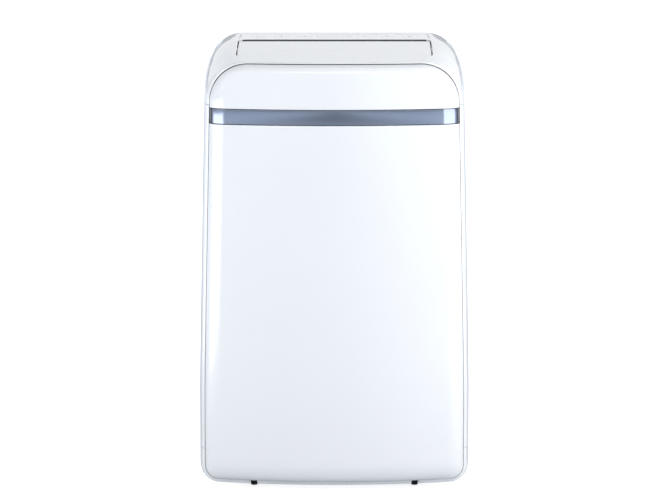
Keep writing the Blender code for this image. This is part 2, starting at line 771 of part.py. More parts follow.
# ---------------------------------------------------------------- control panel
panel_half = flap_half
panel_front = opening_rear + PANEL_FRONT_LAND
panel_rear = REAR_Y - PANEL_REAR_LAND
panel_mid = (panel_front + panel_rear) / 2
panel_deep = (panel_rear - panel_front) / 2
panel_top = HEIGHT - PANEL_SINK
panel_shape = rounded(panel_half, panel_deep, PANEL_RADIUS)
control_panel = plate("control_panel", panel_shape, -PANEL_THICK, 0.0, (0, panel_mid, panel_top), "Z", WHITE)
panel_hole = rounded(panel_half + PLAY, panel_deep + PLAY, PANEL_RADIUS + PLAY)
cut(top_cover, plate("panel_opening", panel_hole, -0.02, 0.02, (0, panel_mid, panel_top), "Z"))
display = plate(
    "display_window",
    rounded(DISPLAY_WIDTH / 2, DISPLAY_DEPTH / 2, 0.003),
    -PANEL_THICK,
    0.0,
    (0, panel_mid, panel_top),
    "Z",
    SMOKE,
)
display_hole = rounded(DISPLAY_WIDTH / 2 + PLAY, DISPLAY_DEPTH / 2 + PLAY, 0.003 + PLAY)
panel_cuts = [plate("display_hole", display_hole, -0.01, 0.01, (0, panel_mid, panel_top), "Z")]
button_pitch = (panel_half - DISPLAY_WIDTH / 2 - 0.0165) / 3
button_shape = rounded(BUTTON_WIDTH / 2, BUTTON_DEPTH / 2, 0.004, steps=2)
button_hole = rounded(BUTTON_WIDTH / 2 + PLAY, BUTTON_DEPTH / 2 + PLAY, 0.004 + PLAY, steps=2)
button_top = panel_top + BUTTON_PROUD
for number, place in enumerate((-3, -2, -1, 1, 2, 3)):
    x = math.copysign(DISPLAY_WIDTH / 2 + button_pitch * (abs(place) - 0.5) + 0.004, place)
    middle = (x, panel_mid, button_top)
    button = plate(f"button_{number + 1}", button_shape, -BUTTON_TALL, 0.0, middle, "Z", WHITE)
    flange_top = button_top - BUTTON_PROUD - PANEL_THICK - TOUCH
    flange = box(
        f"button_flange_{number + 1}",
        (x - BUTTON_WIDTH / 2 - BUTTON_LAP, panel_mid - BUTTON_DEPTH / 2 - 0.0012, flange_top - 0.0012),
        (x + BUTTON_WIDTH / 2 + BUTTON_LAP, panel_mid + BUTTON_DEPTH / 2 + 0.0012, flange_top),
    )
    join(button, flange)
    panel_cuts.append(plate(f"button_hole_{number + 1}", button_hole, -0.01, 0.01, middle, "Z"))
cut(control_panel, together("control_panel_holes", panel_cuts))
board_top = panel_top - PANEL_THICK - BOARD_DROP
outermost = DISPLAY_WIDTH / 2 + button_pitch * 2.5 + 0.004
post_x = outermost + BUTTON_WIDTH / 2 + BUTTON_LAP + POST_GAP + POST_RADIUS
board_half = post_x + BOARD_BEYOND
board = box(
    "control_board",
    (-board_half, panel_mid - panel_deep * 0.55, board_top - BOARD_THICK),
    (board_half, panel_mid + panel_deep * 0.55, board_top),
    BOARD,
)
for side in (-1, 1):
    post = rod(
        f"board_post_{side}",
        (side * post_x, panel_mid, board_top - 0.001),
        BOARD_DROP + 0.001 - TOUCH,
        POST_RADIUS,
        "Z",
        sides=10,
    )
    join(board, post)

# ---------------------------------------------------------------- handle cups
handle_z = HEIGHT - HANDLE_BELOW_TOP
handle_y = FRONT_Y + HANDLE_BACK
for name, side, panel in (("left", -1, left_side_panel), ("right", 1, right_side_panel)):
    face = HALF - lean(handle_z)
    near, far = sorted((side * (face - HANDLE_DEEP), side * (face + 0.02)))
    low = (near, handle_y - HANDLE_LENGTH / 2, handle_z - HANDLE_HEIGHT / 2)
    high = (far, handle_y + HANDLE_LENGTH / 2, handle_z + HANDLE_HEIGHT / 2)
    cup = box(f"{name}_handle_cup", low, high, WHITE)
    keep(cup, solid)
    inner_near, inner_far = sorted((side * (face - HANDLE_DEEP + WALL), side * (face + 0.03)))
    hollow = box(
        f"{name}_cup_hollow",
        (inner_near, low[1] + WALL, low[2] + WALL),
        (inner_far, high[1] - WALL, high[2] - WALL),
        bevel=0.004,
    )
    cut(cup, hollow)
    gap = Vector((PLAY, PLAY, PLAY))
    cut(panel, box(f"{name}_cup_opening", Vector(low) - gap, Vector(high) + gap))

# ---------------------------------------------------------------- rear grilles and filters
grille_half = HALF - GRILLE_LAND
collar_z = TRAY_UNDER - COLLAR_TRAY_GAP - COLLAR_FLANGE - COLLAR_WALL - COLLAR_RADIUS
grille_spans = {
    "upper": (TRAY_TOP + UPPER_GRILLE_LOW, TOP_SEAM - UPPER_GRILLE_HIGH),
    "lower": (LOWER_GRILLE_LOW, collar_z - COLLAR_RADIUS - COLLAR_FLANGE - 0.014),
}
rear_cuts = []
for name, (low, high) in grille_spans.items():
    front, back = REAR_Y + GRILLE_PROUD - GRILLE_THICK, REAR_Y + GRILLE_PROUD
    grille = box(f"{name}_intake_grille", (-grille_half, front, low), (grille_half, back, high), WHITE)
    rows = int((high - low - 2 * GRILLE_FRAME) / SLOT_PITCH)
    first = (low + high) / 2 - SLOT_PITCH * (rows - 1) / 2
    slot_half = (grille_half - GRILLE_FRAME - 0.004) / 2
    for side in (-1, 1):
        middle = side * (slot_half + 0.004)
        slots = box(
            f"{name}_slots_{side}",
            (middle - slot_half, front - 0.01, first - SLOT_HEIGHT / 2),
            (middle + slot_half, back + 0.01, first + SLOT_HEIGHT / 2),
        )
        row = slots.modifiers.new("Rows", "ARRAY")
        row.count = rows
        row.use_relative_offset = False
        row.use_constant_offset = True
        row.constant_offset_displace = (0, 0, SLOT_PITCH)
        cut(grille, slots)
    opening = box(
        f"{name}_grille_opening",
        (-grille_half - PLAY, REAR_Y - 0.02, low - PLAY),
        (grille_half + PLAY, REAR_Y + 0.02, high + PLAY),
    )
    rear_cuts.append(opening)
    filter_back = front - TOUCH
    inset = 0.004
    screen = box(
        f"{name}_filter",
        (-grille_half + inset, filter_back - FILTER_THICK, low + inset),
        (grille_half - inset, filter_back, high - inset),
        MESH_GREY,
    )
    cells = 4
    span = 2 * (grille_half - inset) - FILTER_RIB
    cell = span / cells - FILTER_RIB
    windows = box(
        f"{name}_filter_windows",
        (-grille_half + inset + FILTER_RIB, filter_back - 0.0012, low + inset + FILTER_RIB),
        (-grille_half + inset + FILTER_RIB + cell, filter_back + 0.01, high - inset - FILTER_RIB),
    )
    across = windows.modifiers.new("Across", "ARRAY")
    across.count = cells
    across.use_relative_offset = False
    across.use_constant_offset = True
    across.constant_offset_displace = (cell + FILTER_RIB, 0, 0)
    cut(screen, windows)

# ---------------------------------------------------------------- hose collar, hooks, gland, drain plugs
collar_bore = COLLAR_RADIUS
collar_outer = COLLAR_RADIUS + COLLAR_WALL
turned(
    "exhaust_collar",
    [
        (collar_bore, -COLLAR_DEEP),
        (collar_outer, -COLLAR_DEEP),
        (collar_outer, TOUCH),
        (collar_outer + COLLAR_FLANGE, TOUCH),
        (collar_outer + COLLAR_FLANGE, TOUCH + 0.0025),
        (collar_outer, COLLAR_PROUD - 0.001),
        (collar_outer - 0.001, COLLAR_PROUD),
        (collar_bore, COLLAR_PROUD),
    ],
    (0, REAR_Y, collar_z),
    "Y",
    WHITE,
    steps=32,
)
collar_start = (0, REAR_Y - 0.02, collar_z)
collar_hole = rod("collar_opening", collar_start, 0.04, collar_outer + PLAY * 3, "Y", sides=32)
cord_x = -(HALF - CORD_LAND)
for name, place in (("lower", -1), ("upper", 1)):
    z = collar_z + place * HOOK_SPREAD
    low = (cord_x - 0.010, REAR_Y + TOUCH, z - 0.012)
    hook = box(f"cord_hook_{name}", low, (cord_x + 0.010, REAR_Y + 0.003, z + 0.012), WHITE)
    lip_low, lip_high = sorted((z + place * 0.002, z + place * 0.024))
    neck_low, neck_high = sorted((z - place * 0.004, z + place * 0.002))
    low = (cord_x - 0.007, REAR_Y + 0.002, neck_low)
    neck = box(f"hook_neck_{name}", low, (cord_x + 0.007, REAR_Y + 0.0060, neck_high))
    lip = box(
        f"hook_lip_{name}",
        (cord_x - 0.009, REAR_Y + 0.0046, min(neck_low, lip_low)),
        (cord_x + 0.009, REAR_Y + 0.0066, max(neck_high, lip_high)),
    )
    join(hook, neck, lip)
gland_z = collar_z + GLAND_RISE
turned(
    "cord_gland",
    [
        (GLAND_RADIUS * 0.45, -0.012),
        (GLAND_RADIUS, -0.012),
        (GLAND_RADIUS, TOUCH),
        (GLAND_RADIUS * 1.5, TOUCH),
        (GLAND_RADIUS * 1.5, 0.003),
        (GLAND_RADIUS * 0.8, 0.006),
        (GLAND_RADIUS * 0.45, 0.006),
    ],
    (cord_x, REAR_Y, gland_z),
    "Y",
    RUBBER,
    steps=14,
)
gland_hole = rod("gland_hole", (cord_x, REAR_Y - 0.02, gland_z), 0.04, GLAND_RADIUS + PLAY, "Y", sides=14)
rear_cuts += [collar_hole, gland_hole]
drains = {
    "upper": (HALF - DRAIN_LAND, TRAY_UNDER + TRAY_DEEP / 2),
    "lower": (LOWER_DRAIN_SIDE, FLOOR_GAP + REAR_RADIUS + 0.012),
}
for name, (x, z) in drains.items():
    turned(
        f"{name}_drain_plug",
        [
            (0.0, -0.010),
            (DRAIN_RADIUS * 0.85, -0.010),
            (DRAIN_RADIUS, -0.004),
            (DRAIN_RADIUS, TOUCH),
            (DRAIN_RADIUS * 1.5, TOUCH),
            (DRAIN_RADIUS * 1.5, 0.003),
            (DRAIN_RADIUS * 0.5, 0.0035),
            (DRAIN_RADIUS * 0.5, 0.0065),
            (0.0, 0.0065),
        ],
        (x, REAR_Y, z),
        "Y",
        RUBBER,
        steps=14,
    )
    drain_hole = rod(f"{name}_drain_hole", (x, REAR_Y - 0.02, z), 0.04, DRAIN_RADIUS + PLAY, "Y", sides=14)
    if name == "upper":
        rear_cuts.append(drain_hole)
    else:
        cut(base_tray, drain_hole)
cut(rear_panel, together("rear_openings", rear_cuts))

# ---------------------------------------------------------------- casters
caster_rows = {"front": FRONT_Y + CASTER_FRONT, "rear": REAR_Y - CASTER_REAR}
dome_low = FLOOR_GAP + 0.001
domes = []
bosses = []
wells = []
stem_holes = []
notches = []
for row, y in caster_rows.items():
    for name, side in (("left", -1), ("right", 1)):
        x = side * CASTER_X
        tag = f"{row}_{name}"
        hood_tall = HOOD_TOP - HOOD_BOTTOM
        hood = rod(f"caster_hood_{tag}", (x, y, HOOD_BOTTOM), hood_tall, HOOD_RADIUS, "Z", WHITE, sides=16)
        stem = rod(f"stem_{tag}", (x, y, HOOD_TOP - 0.001), STEM_LENGTH, STEM_RADIUS, "Z", sides=16)
        slot_half = ROLLER_WIDTH / 2 + 0.0007
        roller_top = HOOD_TOP - HOOD_ROOF
        slot_low = (x - slot_half, y - 0.03, -0.01)
        slot = box(f"wheel_slot_{tag}", slot_low, (x + slot_half, y + 0.04, roller_top))
        axle_y = y + CASTER_TRAIL
        axle_hole = rod(
            f"axle_hole_{tag}", (x - 0.03, axle_y, ROLLER_RADIUS), 0.06, AXLE_RADIUS + RUN, "X", sides=12
        )
        join(hood, stem)
        cut(hood, slot, axle_hole)
        half_wide = ROLLER_WIDTH / 2
        tread = [
            (0.0, -half_wide),
            (ROLLER_RADIUS - 0.0012, -half_wide),
            (ROLLER_RADIUS, 0.0012 - half_wide),
            (ROLLER_RADIUS, half_wide - 0.0012),
            (ROLLER_RADIUS - 0.0012, half_wide),
            (0.0, half_wide),
        ]
        roller = turned(f"caster_wheel_{tag}", tread, (x, axle_y, ROLLER_RADIUS), "X", DARK, steps=20)
        start = (x - AXLE_LENGTH / 2, axle_y, ROLLER_RADIUS)
        axle = rod(f"axle_{tag}", start, AXLE_LENGTH, AXLE_RADIUS, "X", sides=12)
        join(roller, axle)
        dome_tall = WELL_TOP + WALL - dome_low
        boss_start = (x, y, WELL_TOP + 0.001)
        well_start = (x, y, FLOOR_GAP - 0.01)
        if row == "front":
            notch_half = ROLLER_WIDTH / 2 + NOTCH_SIDE
            notch_top = FLOOR_GAP + LIP_HEIGHT - PANEL_GAP + NOTCH_ABOVE_LIP
            notch_low = (x - notch_half, FRONT_Y, 0.0)
            notches.append(box(f"notch_{tag}", notch_low, (x + notch_half, y, notch_top)))
        hole_start = (x, y, WELL_TOP - 0.01)
        domes.append(rod(f"dome_{tag}", (x, y, dome_low), dome_tall, WELL_RADIUS + WALL, "Z", sides=16))
        bosses.append(rod(f"boss_{tag}", boss_start, STEM_LENGTH - 0.003, STEM_RADIUS * 1.9, "Z", sides=12))
        wells.append(rod(f"well_{tag}", well_start, WELL_TOP - FLOOR_GAP + 0.01, WELL_RADIUS, "Z", sides=16))
        stem_holes.append(rod(f"stem_hole_{tag}", hole_start, 0.04, STEM_RADIUS + RUN, "Z", sides=16))
join(base_tray, together("domes", domes), together("bosses", bosses))
cut(base_tray, together("wells", wells), together("stem_holes", stem_holes))
cut(base_tray, together("notches", notches))


# ---------------------------------------------------------------- inside: coils
def coil(name, low, high, back):
    """A finned block between end plates, with the tube bends at both ends."""
    half = HALF - COIL_LAND
    front = back - COIL_DEPTH
    middle = (front + back) / 2
    block = box(name, (-half, front, low), (half, back, high), FINS)
    ends = []
    bends = []
    for side in (-1, 1):
        near, far = sorted((side * (half - 0.001), side * (half + 0.0015)))
        end_low = (near, front - 0.003, low - 0.003)
        ends.append(box(f"{name}_end_{side}", end_low, (far, back + 0.003, high + 0.003)))
        pitch = (high - low - 2 * BEND_LAND) / (2 * BEND_COUNT - 1)
        for k in range(BEND_COUNT):
            z = low + BEND_LAND + pitch * (2 * k + 0.5)
            path = [(side * (half - 0.0005), middle, z - pitch / 2)]
            for i in range(5):
                turn = math.radians(45 * i)
                reach = half + 0.003 + BEND_REACH * math.sin(turn)
                path.append((side * reach, middle, z - pitch / 2 * math.cos(turn)))
            path.append((side * (half - 0.0005), middle, z + pitch / 2))
            bends.append(tube(f"{name}_bend_{side}_{k}", path, BEND_RADIUS))
    join(block, together(f"{name}_ends", ends), together(f"{name}_bends", bends))


coil_back = REAR_Y - COIL_BEHIND
upper_low, upper_high = grille_spans["upper"]
lower_low, lower_high = grille_spans["lower"]
coil("evaporator", TRAY_TOP + 0.008, upper_high, coil_back)
coil("condenser", lower_low - 0.004, lower_high, coil_back)


# ---------------------------------------------------------------- inside: blowers
def blower_wheel(name, x, y, z, radius):
    """A forward-curved blower wheel: back plate with hub, blades and front ring."""
    wheel = rod(name, (x, y, z), 0.002, radius, "Y", DARK, sides=24)
    hub = rod(f"{name}_hub", (x, y - 0.0005, z), WHEEL_DEPTH * 0.4, 0.014, "Y", sides=16)
    ring = turned(
        f"{name}_ring",
        [(radius - 0.009, 0.0), (radius, 0.0), (radius, 0.003), (radius - 0.009, 0.003)],
        (x, y + WHEEL_DEPTH - 0.003, z),
        "Y",
        steps=24,
    )
    work = bmesh.new()
    for k in range(BLADE_COUNT):
        turn = Matrix.Rotation(2 * math.pi * k / BLADE_COUNT, 4, "Y")
        place = turn @ Matrix.Translation((radius - 0.0065, 0, 0))
        place = place @ Matrix.Rotation(math.radians(52), 4, "Y")
        size = Matrix.Diagonal((BLADE_THICK, WHEEL_DEPTH - 0.003, BLADE_LENGTH * 0.62, 1))
        bmesh.ops.create_cube(work, size=1.0, matrix=place @ size)
    blades = add_object(f"{name}_blades", mesh_from(f"{name}_blades", work, smooth=False))
    blades.location = (x, y + WHEEL_DEPTH / 2, z)
    bore = rod(f"{name}_bore", (x, y - 0.01, z), WHEEL_DEPTH, SHAFT_RADIUS + RUN, "Y", sides=16)
    join(wheel, blades, ring, hub)
    cut(wheel, bore)
    return wheel


def blower_motor(name, x, y, z, radius):
    """A motor whose shaft runs along +Y into the wheel's hub."""
    motor = rod(name, (x, y - MOTOR_LENGTH, z), MOTOR_LENGTH, radius, "Y", STEEL)
    reach = BLOWER_WALL + BLOWER_GAP + WHEEL_DEPTH * 0.35
    shaft = rod(f"{name}_shaft", (x, y - 0.001, z), reach, SHAFT_RADIUS, "Y", sides=16)
    return join(motor, shaft)


def scroll_outline(radius, top):
    """A half circle below and a straight riser above, up to the top."""
    turns = [math.radians(180 + 12 * i) for i in range(16)]
    below = [(radius * math.cos(turn), radius * math.sin(turn)) for turn in turns]
    return below + [(radius, top), (-radius, top)]


def scroll(name, x, y, z, radius, top, inner_top, finish):
    """A blower housing and its cutters. Its mouth faces up, its inlet back and its shaft hole forward."""
    deep = WHEEL_DEPTH + 2 * BLOWER_GAP
    wall = BLOWER_WALL
    origin = (x, y, z)
    body = plate(name, scroll_outline(radius + wall, top - z), 0.0, deep + 2 * wall, origin, "Y", finish)
    inner = plate(f"{name}_hollow", scroll_outline(radius, inner_top - z), wall, wall + deep, origin, "Y")
    inlet = rod(f"{name}_inlet", (x, y + deep, z), 0.02, radius - BLOWER_GAP - BLADE_LENGTH, "Y", sides=32)
    shaft_hole = rod(f"{name}_shaft_hole", (x, y - 0.01, z), 0.02, SHAFT_RADIUS * 2, "Y", sides=16)
    return body, [inner, inlet, shaft_hole]


upper_room = duct_low - TRAY_TOP - 0.006
upper_wheel_radius = upper_room / 2 - BLOWER_GAP - BLOWER_WALL
upper_z = TRAY_TOP + 0.003 + upper_room / 2
upper_y = FRONT_Y + UPPER_BLOWER_BACK
upper_inner = upper_wheel_radius + BLOWER_GAP
upper_scroll, scroll_cuts = scroll(
    "upper_scroll", 0.0, upper_y, upper_z, upper_inner, duct_low - TOUCH, duct_low + 0.02, WHITE
)
cut(upper_scroll, *scroll_cuts)
mouth_back = upper_y + BLOWER_WALL + WHEEL_DEPTH + 2 * BLOWER_GAP
cut(
    duct,
    box(
        "duct_floor_opening",
        (-upper_inner, upper_y + BLOWER_WALL, duct_low - 0.01),
        (upper_inner, mouth_back, duct_low + DUCT_WALL + 0.002),
    ),
)
blower_wheel("upper_blower_wheel", 0.0, upper_y + BLOWER_WALL + BLOWER_GAP, upper_z, upper_wheel_radius)
blower_motor("upper_blower_motor", 0.0, upper_y - TOUCH, upper_z, MOTOR_RADIUS)

lower_x = LOWER_WHEEL_SIDE
lower_y = REAR_Y - LOWER_BLOWER_AHEAD
lower_inner = LOWER_WHEEL_RADIUS + BLOWER_GAP
dome_side = max(0.0, CASTER_X - WELL_RADIUS - WALL - lower_x)
dome_reach = lower_inner + BLOWER_WALL + DOME_GAP
over_dome = math.sqrt(max(0.0, dome_reach**2 - dome_side**2))
lower_z = max(FLOOR_GAP + LOWER_WHEEL_ABOVE, WELL_TOP + WALL + over_dome)
duct_side = COLLAR_RADIUS + 0.006
duct_back = REAR_Y - COLLAR_DEEP - TOUCH
exhaust_low = max(collar_z - duct_side, lower_high + 0.006)
lower_scroll, scroll_cuts = scroll(
    "lower_scroll", lower_x, lower_y, lower_z, lower_inner, exhaust_low + 0.02, exhaust_low + 0.01, WHITE
)
exhaust = box(
    "exhaust_duct",
    (-duct_side - BLOWER_WALL, lower_y - 0.001, exhaust_low - BLOWER_WALL),
    (lower_x + lower_inner + BLOWER_WALL + 0.001, duct_back, collar_z + duct_side),
)
exhaust_hollow = box(
    "exhaust_hollow",
    (-duct_side, lower_y + BLOWER_WALL - 0.001, exhaust_low),
    (lower_x + lower_inner + 0.001, duct_back - BLOWER_WALL, collar_z + duct_side - BLOWER_WALL),
)
exhaust_mouth = rod("exhaust_mouth", (0, duct_back - 0.01, collar_z), 0.02, COLLAR_RADIUS, "Y", sides=32)
join(lower_scroll, exhaust)
cut(lower_scroll, *scroll_cuts, exhaust_hollow, exhaust_mouth)
blower_wheel("lower_blower_wheel", lower_x, lower_y + BLOWER_WALL + BLOWER_GAP, lower_z, LOWER_WHEEL_RADIUS)
blower_motor("lower_blower_motor", lower_x, lower_y - 0.001 - TOUCH, lower_z, MOTOR_RADIUS)

# ---------------------------------------------------------------- inside: drip tray, compressor, box
tray_half = HALF - TRAY_SIDE_LAND
tray_front = FRONT_Y + TRAY_FRONT_LAND
tray_rear = REAR_Y - TRAY_REAR_LAND
tray = box("drip_tray", (-tray_half, tray_front, TRAY_UNDER), (tray_half, tray_rear, TRAY_TOP), GREY)
tray_hollow = box(
    "tray_hollow",
    (-tray_half + WALL, tray_front + WALL, TRAY_UNDER + WALL),
    (tray_half - WALL, tray_rear - WALL, TRAY_TOP + 0.01),
)
cut(tray, tray_hollow)
compressor_x = -(HALF - COMPRESSOR_LAND)
compressor_y = FRONT_Y + COMPRESSOR_BACK
compressor_low = FLOOR + TOUCH + FOOT_HEIGHT
compressor = turned(
    "compressor",
    [
        (0.0, 0.0),
        (COMPRESSOR_RADIUS * 0.8, 0.0),
        (COMPRESSOR_RADIUS * 0.96, 0.008),
        (COMPRESSOR_RADIUS, 0.022),
        (COMPRESSOR_RADIUS, COMPRESSOR_HEIGHT - 0.026),
        (COMPRESSOR_RADIUS * 0.93, COMPRESSOR_HEIGHT - 0.011),
        (COMPRESSOR_RADIUS * 0.6, COMPRESSOR_HEIGHT - 0.002),
        (0.0, COMPRESSOR_HEIGHT),
    ],
    (compressor_x, compressor_y, compressor_low),
    "Z",
    BLACK_STEEL,
    steps=28,
)
accumulator_y = compressor_y - COMPRESSOR_RADIUS - 0.012
accumulator_z = compressor_low + COMPRESSOR_HEIGHT * 0.35
accumulator_tall = COMPRESSOR_HEIGHT * 0.5
join(
    compressor,
    rod("accumulator", (compressor_x, accumulator_y, accumulator_z), accumulator_tall, 0.016, "Z", sides=16),
    box(
        "accumulator_clamp",
        (compressor_x - 0.004, accumulator_y, accumulator_z + 0.03),
        (compressor_x + 0.004, compressor_y, accumulator_z + 0.04),
    ),
)
for k in range(3):
    turn = math.radians(90 + 120 * k)
    foot = rod(
        f"compressor_foot_{k}",
        (
            compressor_x + COMPRESSOR_RADIUS * 0.7 * math.cos(turn),
            compressor_y + COMPRESSOR_RADIUS * 0.7 * math.sin(turn),
            FLOOR + TOUCH,
        ),
        FOOT_HEIGHT + 0.006,
        0.009,
        "Z",
        sides=12,
    )
    join(compressor, foot)
box_x = HALF - 0.066
box_y = FRONT_Y + 0.100
box_z = TRAY_UNDER - BOX_HEIGHT - 0.014
electrical_box = box(
    "electrical_box",
    (box_x - BOX_WIDTH / 2, box_y - BOX_DEPTH / 2 + 0.02, box_z),
    (box_x + BOX_WIDTH / 2, box_y + BOX_DEPTH / 2 + 0.02, box_z + BOX_HEIGHT),
    STEEL,
    bevel=0.003,
)

# ---------------------------------------------------------------- inside: refrigerant pipes
pipe_gap = 0.0005
coil_mid = coil_back - COIL_DEPTH / 2
coil_side = HALF - COIL_LAND
pipe_x = -coil_side - 0.028
compressor_top = compressor_low + COMPRESSOR_HEIGHT
discharge_z = lower_low - 0.004 + STUB_INSET
tube(
    "discharge_pipe",
    bent(
        (compressor_x + 0.012, compressor_y, compressor_top + 0.001),
        (compressor_x + 0.012, compressor_y, compressor_top + 0.030),
        (pipe_x, compressor_y + 0.03, compressor_top + 0.030),
        (pipe_x, coil_mid, compressor_top + 0.030),
        (pipe_x, coil_mid, discharge_z),
        (-coil_side - 0.0015 - pipe_gap, coil_mid, discharge_z),
        radius=0.012,
    ),
    PIPE_RADIUS,
    COPPER,
)
suction_low = accumulator_z + accumulator_tall + pipe_gap
suction_z = TRAY_TOP + 0.008 + STUB_INSET + 0.003
suction = bent(
    (compressor_x, accumulator_y, suction_low),
    (compressor_x, accumulator_y, suction_z),
    (pipe_x + 0.004, coil_mid, suction_z),
    (-coil_side - 0.0015 - pipe_gap, coil_mid, suction_z),
    radius=0.010,
)
tube("suction_pipe", suction, PIPE_RADIUS * 1.2, COPPER)
hole_start = (compressor_x, accumulator_y, TRAY_UNDER - 0.02)
tray_holes = [rod("suction_hole", hole_start, 0.06, PIPE_RADIUS * 1.2 + 0.002, "Z", sides=16)]
liquid_x = coil_side + 0.028
liquid = bent(
    (coil_side + 0.0015 + pipe_gap, coil_mid, lower_high - STUB_INSET),
    (liquid_x, coil_mid, lower_high - STUB_INSET),
    (liquid_x, coil_mid, suction_z),
    (coil_side + 0.0015 + pipe_gap, coil_mid, suction_z),
    radius=0.010,
)
tube("liquid_pipe", liquid, PIPE_RADIUS * 0.8, COPPER)
hole_start = (liquid_x, coil_mid, TRAY_UNDER - 0.02)
tray_holes.append(rod("liquid_hole", hole_start, 0.06, PIPE_RADIUS + 0.002, "Z", sides=16))
cut(tray, together("tray_holes", tray_holes))
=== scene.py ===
import json
import math

import bmesh
import bpy
import numpy as np
from mathutils import Matrix, Vector


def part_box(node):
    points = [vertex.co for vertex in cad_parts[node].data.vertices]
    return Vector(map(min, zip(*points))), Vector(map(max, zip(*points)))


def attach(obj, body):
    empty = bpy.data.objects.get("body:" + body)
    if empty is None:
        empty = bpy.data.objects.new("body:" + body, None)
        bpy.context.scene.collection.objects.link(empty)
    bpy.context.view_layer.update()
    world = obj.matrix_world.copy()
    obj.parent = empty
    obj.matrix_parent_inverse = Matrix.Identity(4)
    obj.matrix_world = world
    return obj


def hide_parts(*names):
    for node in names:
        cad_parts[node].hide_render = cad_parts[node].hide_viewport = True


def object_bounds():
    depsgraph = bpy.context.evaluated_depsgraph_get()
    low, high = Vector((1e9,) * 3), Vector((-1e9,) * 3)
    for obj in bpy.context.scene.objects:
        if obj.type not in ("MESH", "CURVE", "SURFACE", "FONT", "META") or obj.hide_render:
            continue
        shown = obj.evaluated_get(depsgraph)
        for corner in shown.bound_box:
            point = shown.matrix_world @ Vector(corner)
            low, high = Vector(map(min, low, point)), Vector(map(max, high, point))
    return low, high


# Portable air conditioner: its covers, controls, grilles and casters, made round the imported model. Metres, +Z up.
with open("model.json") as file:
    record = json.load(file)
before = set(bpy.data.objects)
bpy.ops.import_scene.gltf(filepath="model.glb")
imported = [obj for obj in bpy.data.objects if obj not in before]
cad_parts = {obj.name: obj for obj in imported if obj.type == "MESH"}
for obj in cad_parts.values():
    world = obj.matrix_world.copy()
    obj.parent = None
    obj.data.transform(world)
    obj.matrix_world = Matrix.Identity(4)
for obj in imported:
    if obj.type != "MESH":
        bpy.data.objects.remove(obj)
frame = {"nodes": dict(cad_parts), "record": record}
cad_low, cad_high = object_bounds()

# ---------------------------------------------------------------- sizes read from the model
HALF = (cad_high.x - cad_low.x) / 2
FRONT_Y = cad_low.y
REAR_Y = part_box("rear_panel")[1].y
HEIGHT = cad_high.z
FLOOR_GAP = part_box("base_tray")[0].z
BASE_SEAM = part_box("base_tray")[1].z
SIDE_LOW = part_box("left_side_panel")[0].z
SIDE_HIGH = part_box("left_side_panel")[1].z
TOP_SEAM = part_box("top_cover")[0].z
SIDE_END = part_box("left_side_panel")[1].y
REAR_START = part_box("rear_panel")[0].y
PANEL_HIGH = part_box("front_panel")[1].z
COVER_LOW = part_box("front_upper_cover")[0].z
TRIM_LOW, TRIM_HIGH = (corner.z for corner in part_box("trim_band"))

# ---------------------------------------------------------------- shape of the casing
WALL = 0.003
TOP_RADIUS = 0.058
RIM_RADIUS = 0.068
BOTTOM_RADIUS = 0.027
REAR_RADIUS = 0.026
SIDE_LEAN = 0.0230
LEAN_FROM = 0.15
LEAN_BLEND = 0.05
RIM_INSET = 0.0064
RIM_FACE = 0.0045
RIM_DROP = 0.0255
RIM_SETBACK = 0.0225
RIM_PROUD = 0.001
BOW = 0.032
SWELL_DEPTHS = (0.0, 0.0225, 0.0625, 0.1075, 0.1775, 0.2125)
SWELL_INSET = (1.0, 0.52, 0.12, 0.0, 0.0, 0.0)
SWELL_DROP = (1.0, 0.88, 0.65, 0.37, 0.06, 0.0)
SWELL_BOW = (1.0, 0.66, 0.26, 0.0, 0.0, 0.0)
RIM_HALF = HALF - RIM_INSET
RIM_TOP = HEIGHT - RIM_DROP

PANEL_GAP = 0.0006
EDGE_SETBACK = 0.020
EDGE_SIDE = 0.028
EDGE_TOP = 0.014
EDGE_BOTTOM = 0.032
PANEL_RETURN = 0.008
RETURN_TAPER = 0.0035
LIP_HEIGHT = 0.0065
TRIM_RECESS = 0.0008
FRONT_HALF = RIM_HALF - RIM_FACE - PANEL_GAP
SEAM_ROUND = 0.0005


def smooth_through(places, values):
    """A curve through the values that never overshoots between them."""
    slopes = [(b - a) / (q - p) for a, b, p, q in zip(values, values[1:], places, places[1:])]
    middle = [0.0 if s * t <= 0 else 2 * s * t / (s + t) for s, t in zip(slopes, slopes[1:])]
    tangents = [slopes[0]] + middle + [slopes[-1]]

    def read(place):
        place = min(max(place, places[0]), places[-1])
        k = max(i for i in range(len(places) - 1) if places[i] <= place)
        span = places[k + 1] - places[k]
        t = (place - places[k]) / span
        return (
            values[k] * (1 + 2 * t) * (1 - t) ** 2
            + tangents[k] * span * t * (1 - t) ** 2
            + values[k + 1] * t * t * (3 - 2 * t)
            + tangents[k + 1] * span * t * t * (t - 1)
        )

    return read


inset_share = smooth_through(SWELL_DEPTHS, SWELL_INSET)
drop_share = smooth_through(SWELL_DEPTHS, SWELL_DROP)
bow_share = smooth_through(SWELL_DEPTHS, SWELL_BOW)


def lean(z):
    """How far a side has leant in at height z."""
    return SIDE_LEAN * (math.hypot(max(0.0, z - LEAN_FROM), LEAN_BLEND) - LEAN_BLEND)


# A section is (half width, low, high, low corner radius, high corner radius, setback, bow).
def casing_section(behind, wall):
    drop = drop_share(behind)
    return (
        HALF - RIM_INSET * inset_share(behind) - wall,
        FLOOR_GAP + wall,
        HEIGHT - RIM_DROP * drop - wall,
        BOTTOM_RADIUS - wall,
        TOP_RADIUS + (RIM_RADIUS - TOP_RADIUS) * drop - wall,
        RIM_SETBACK + behind,
        BOW * bow_share(behind),
    )


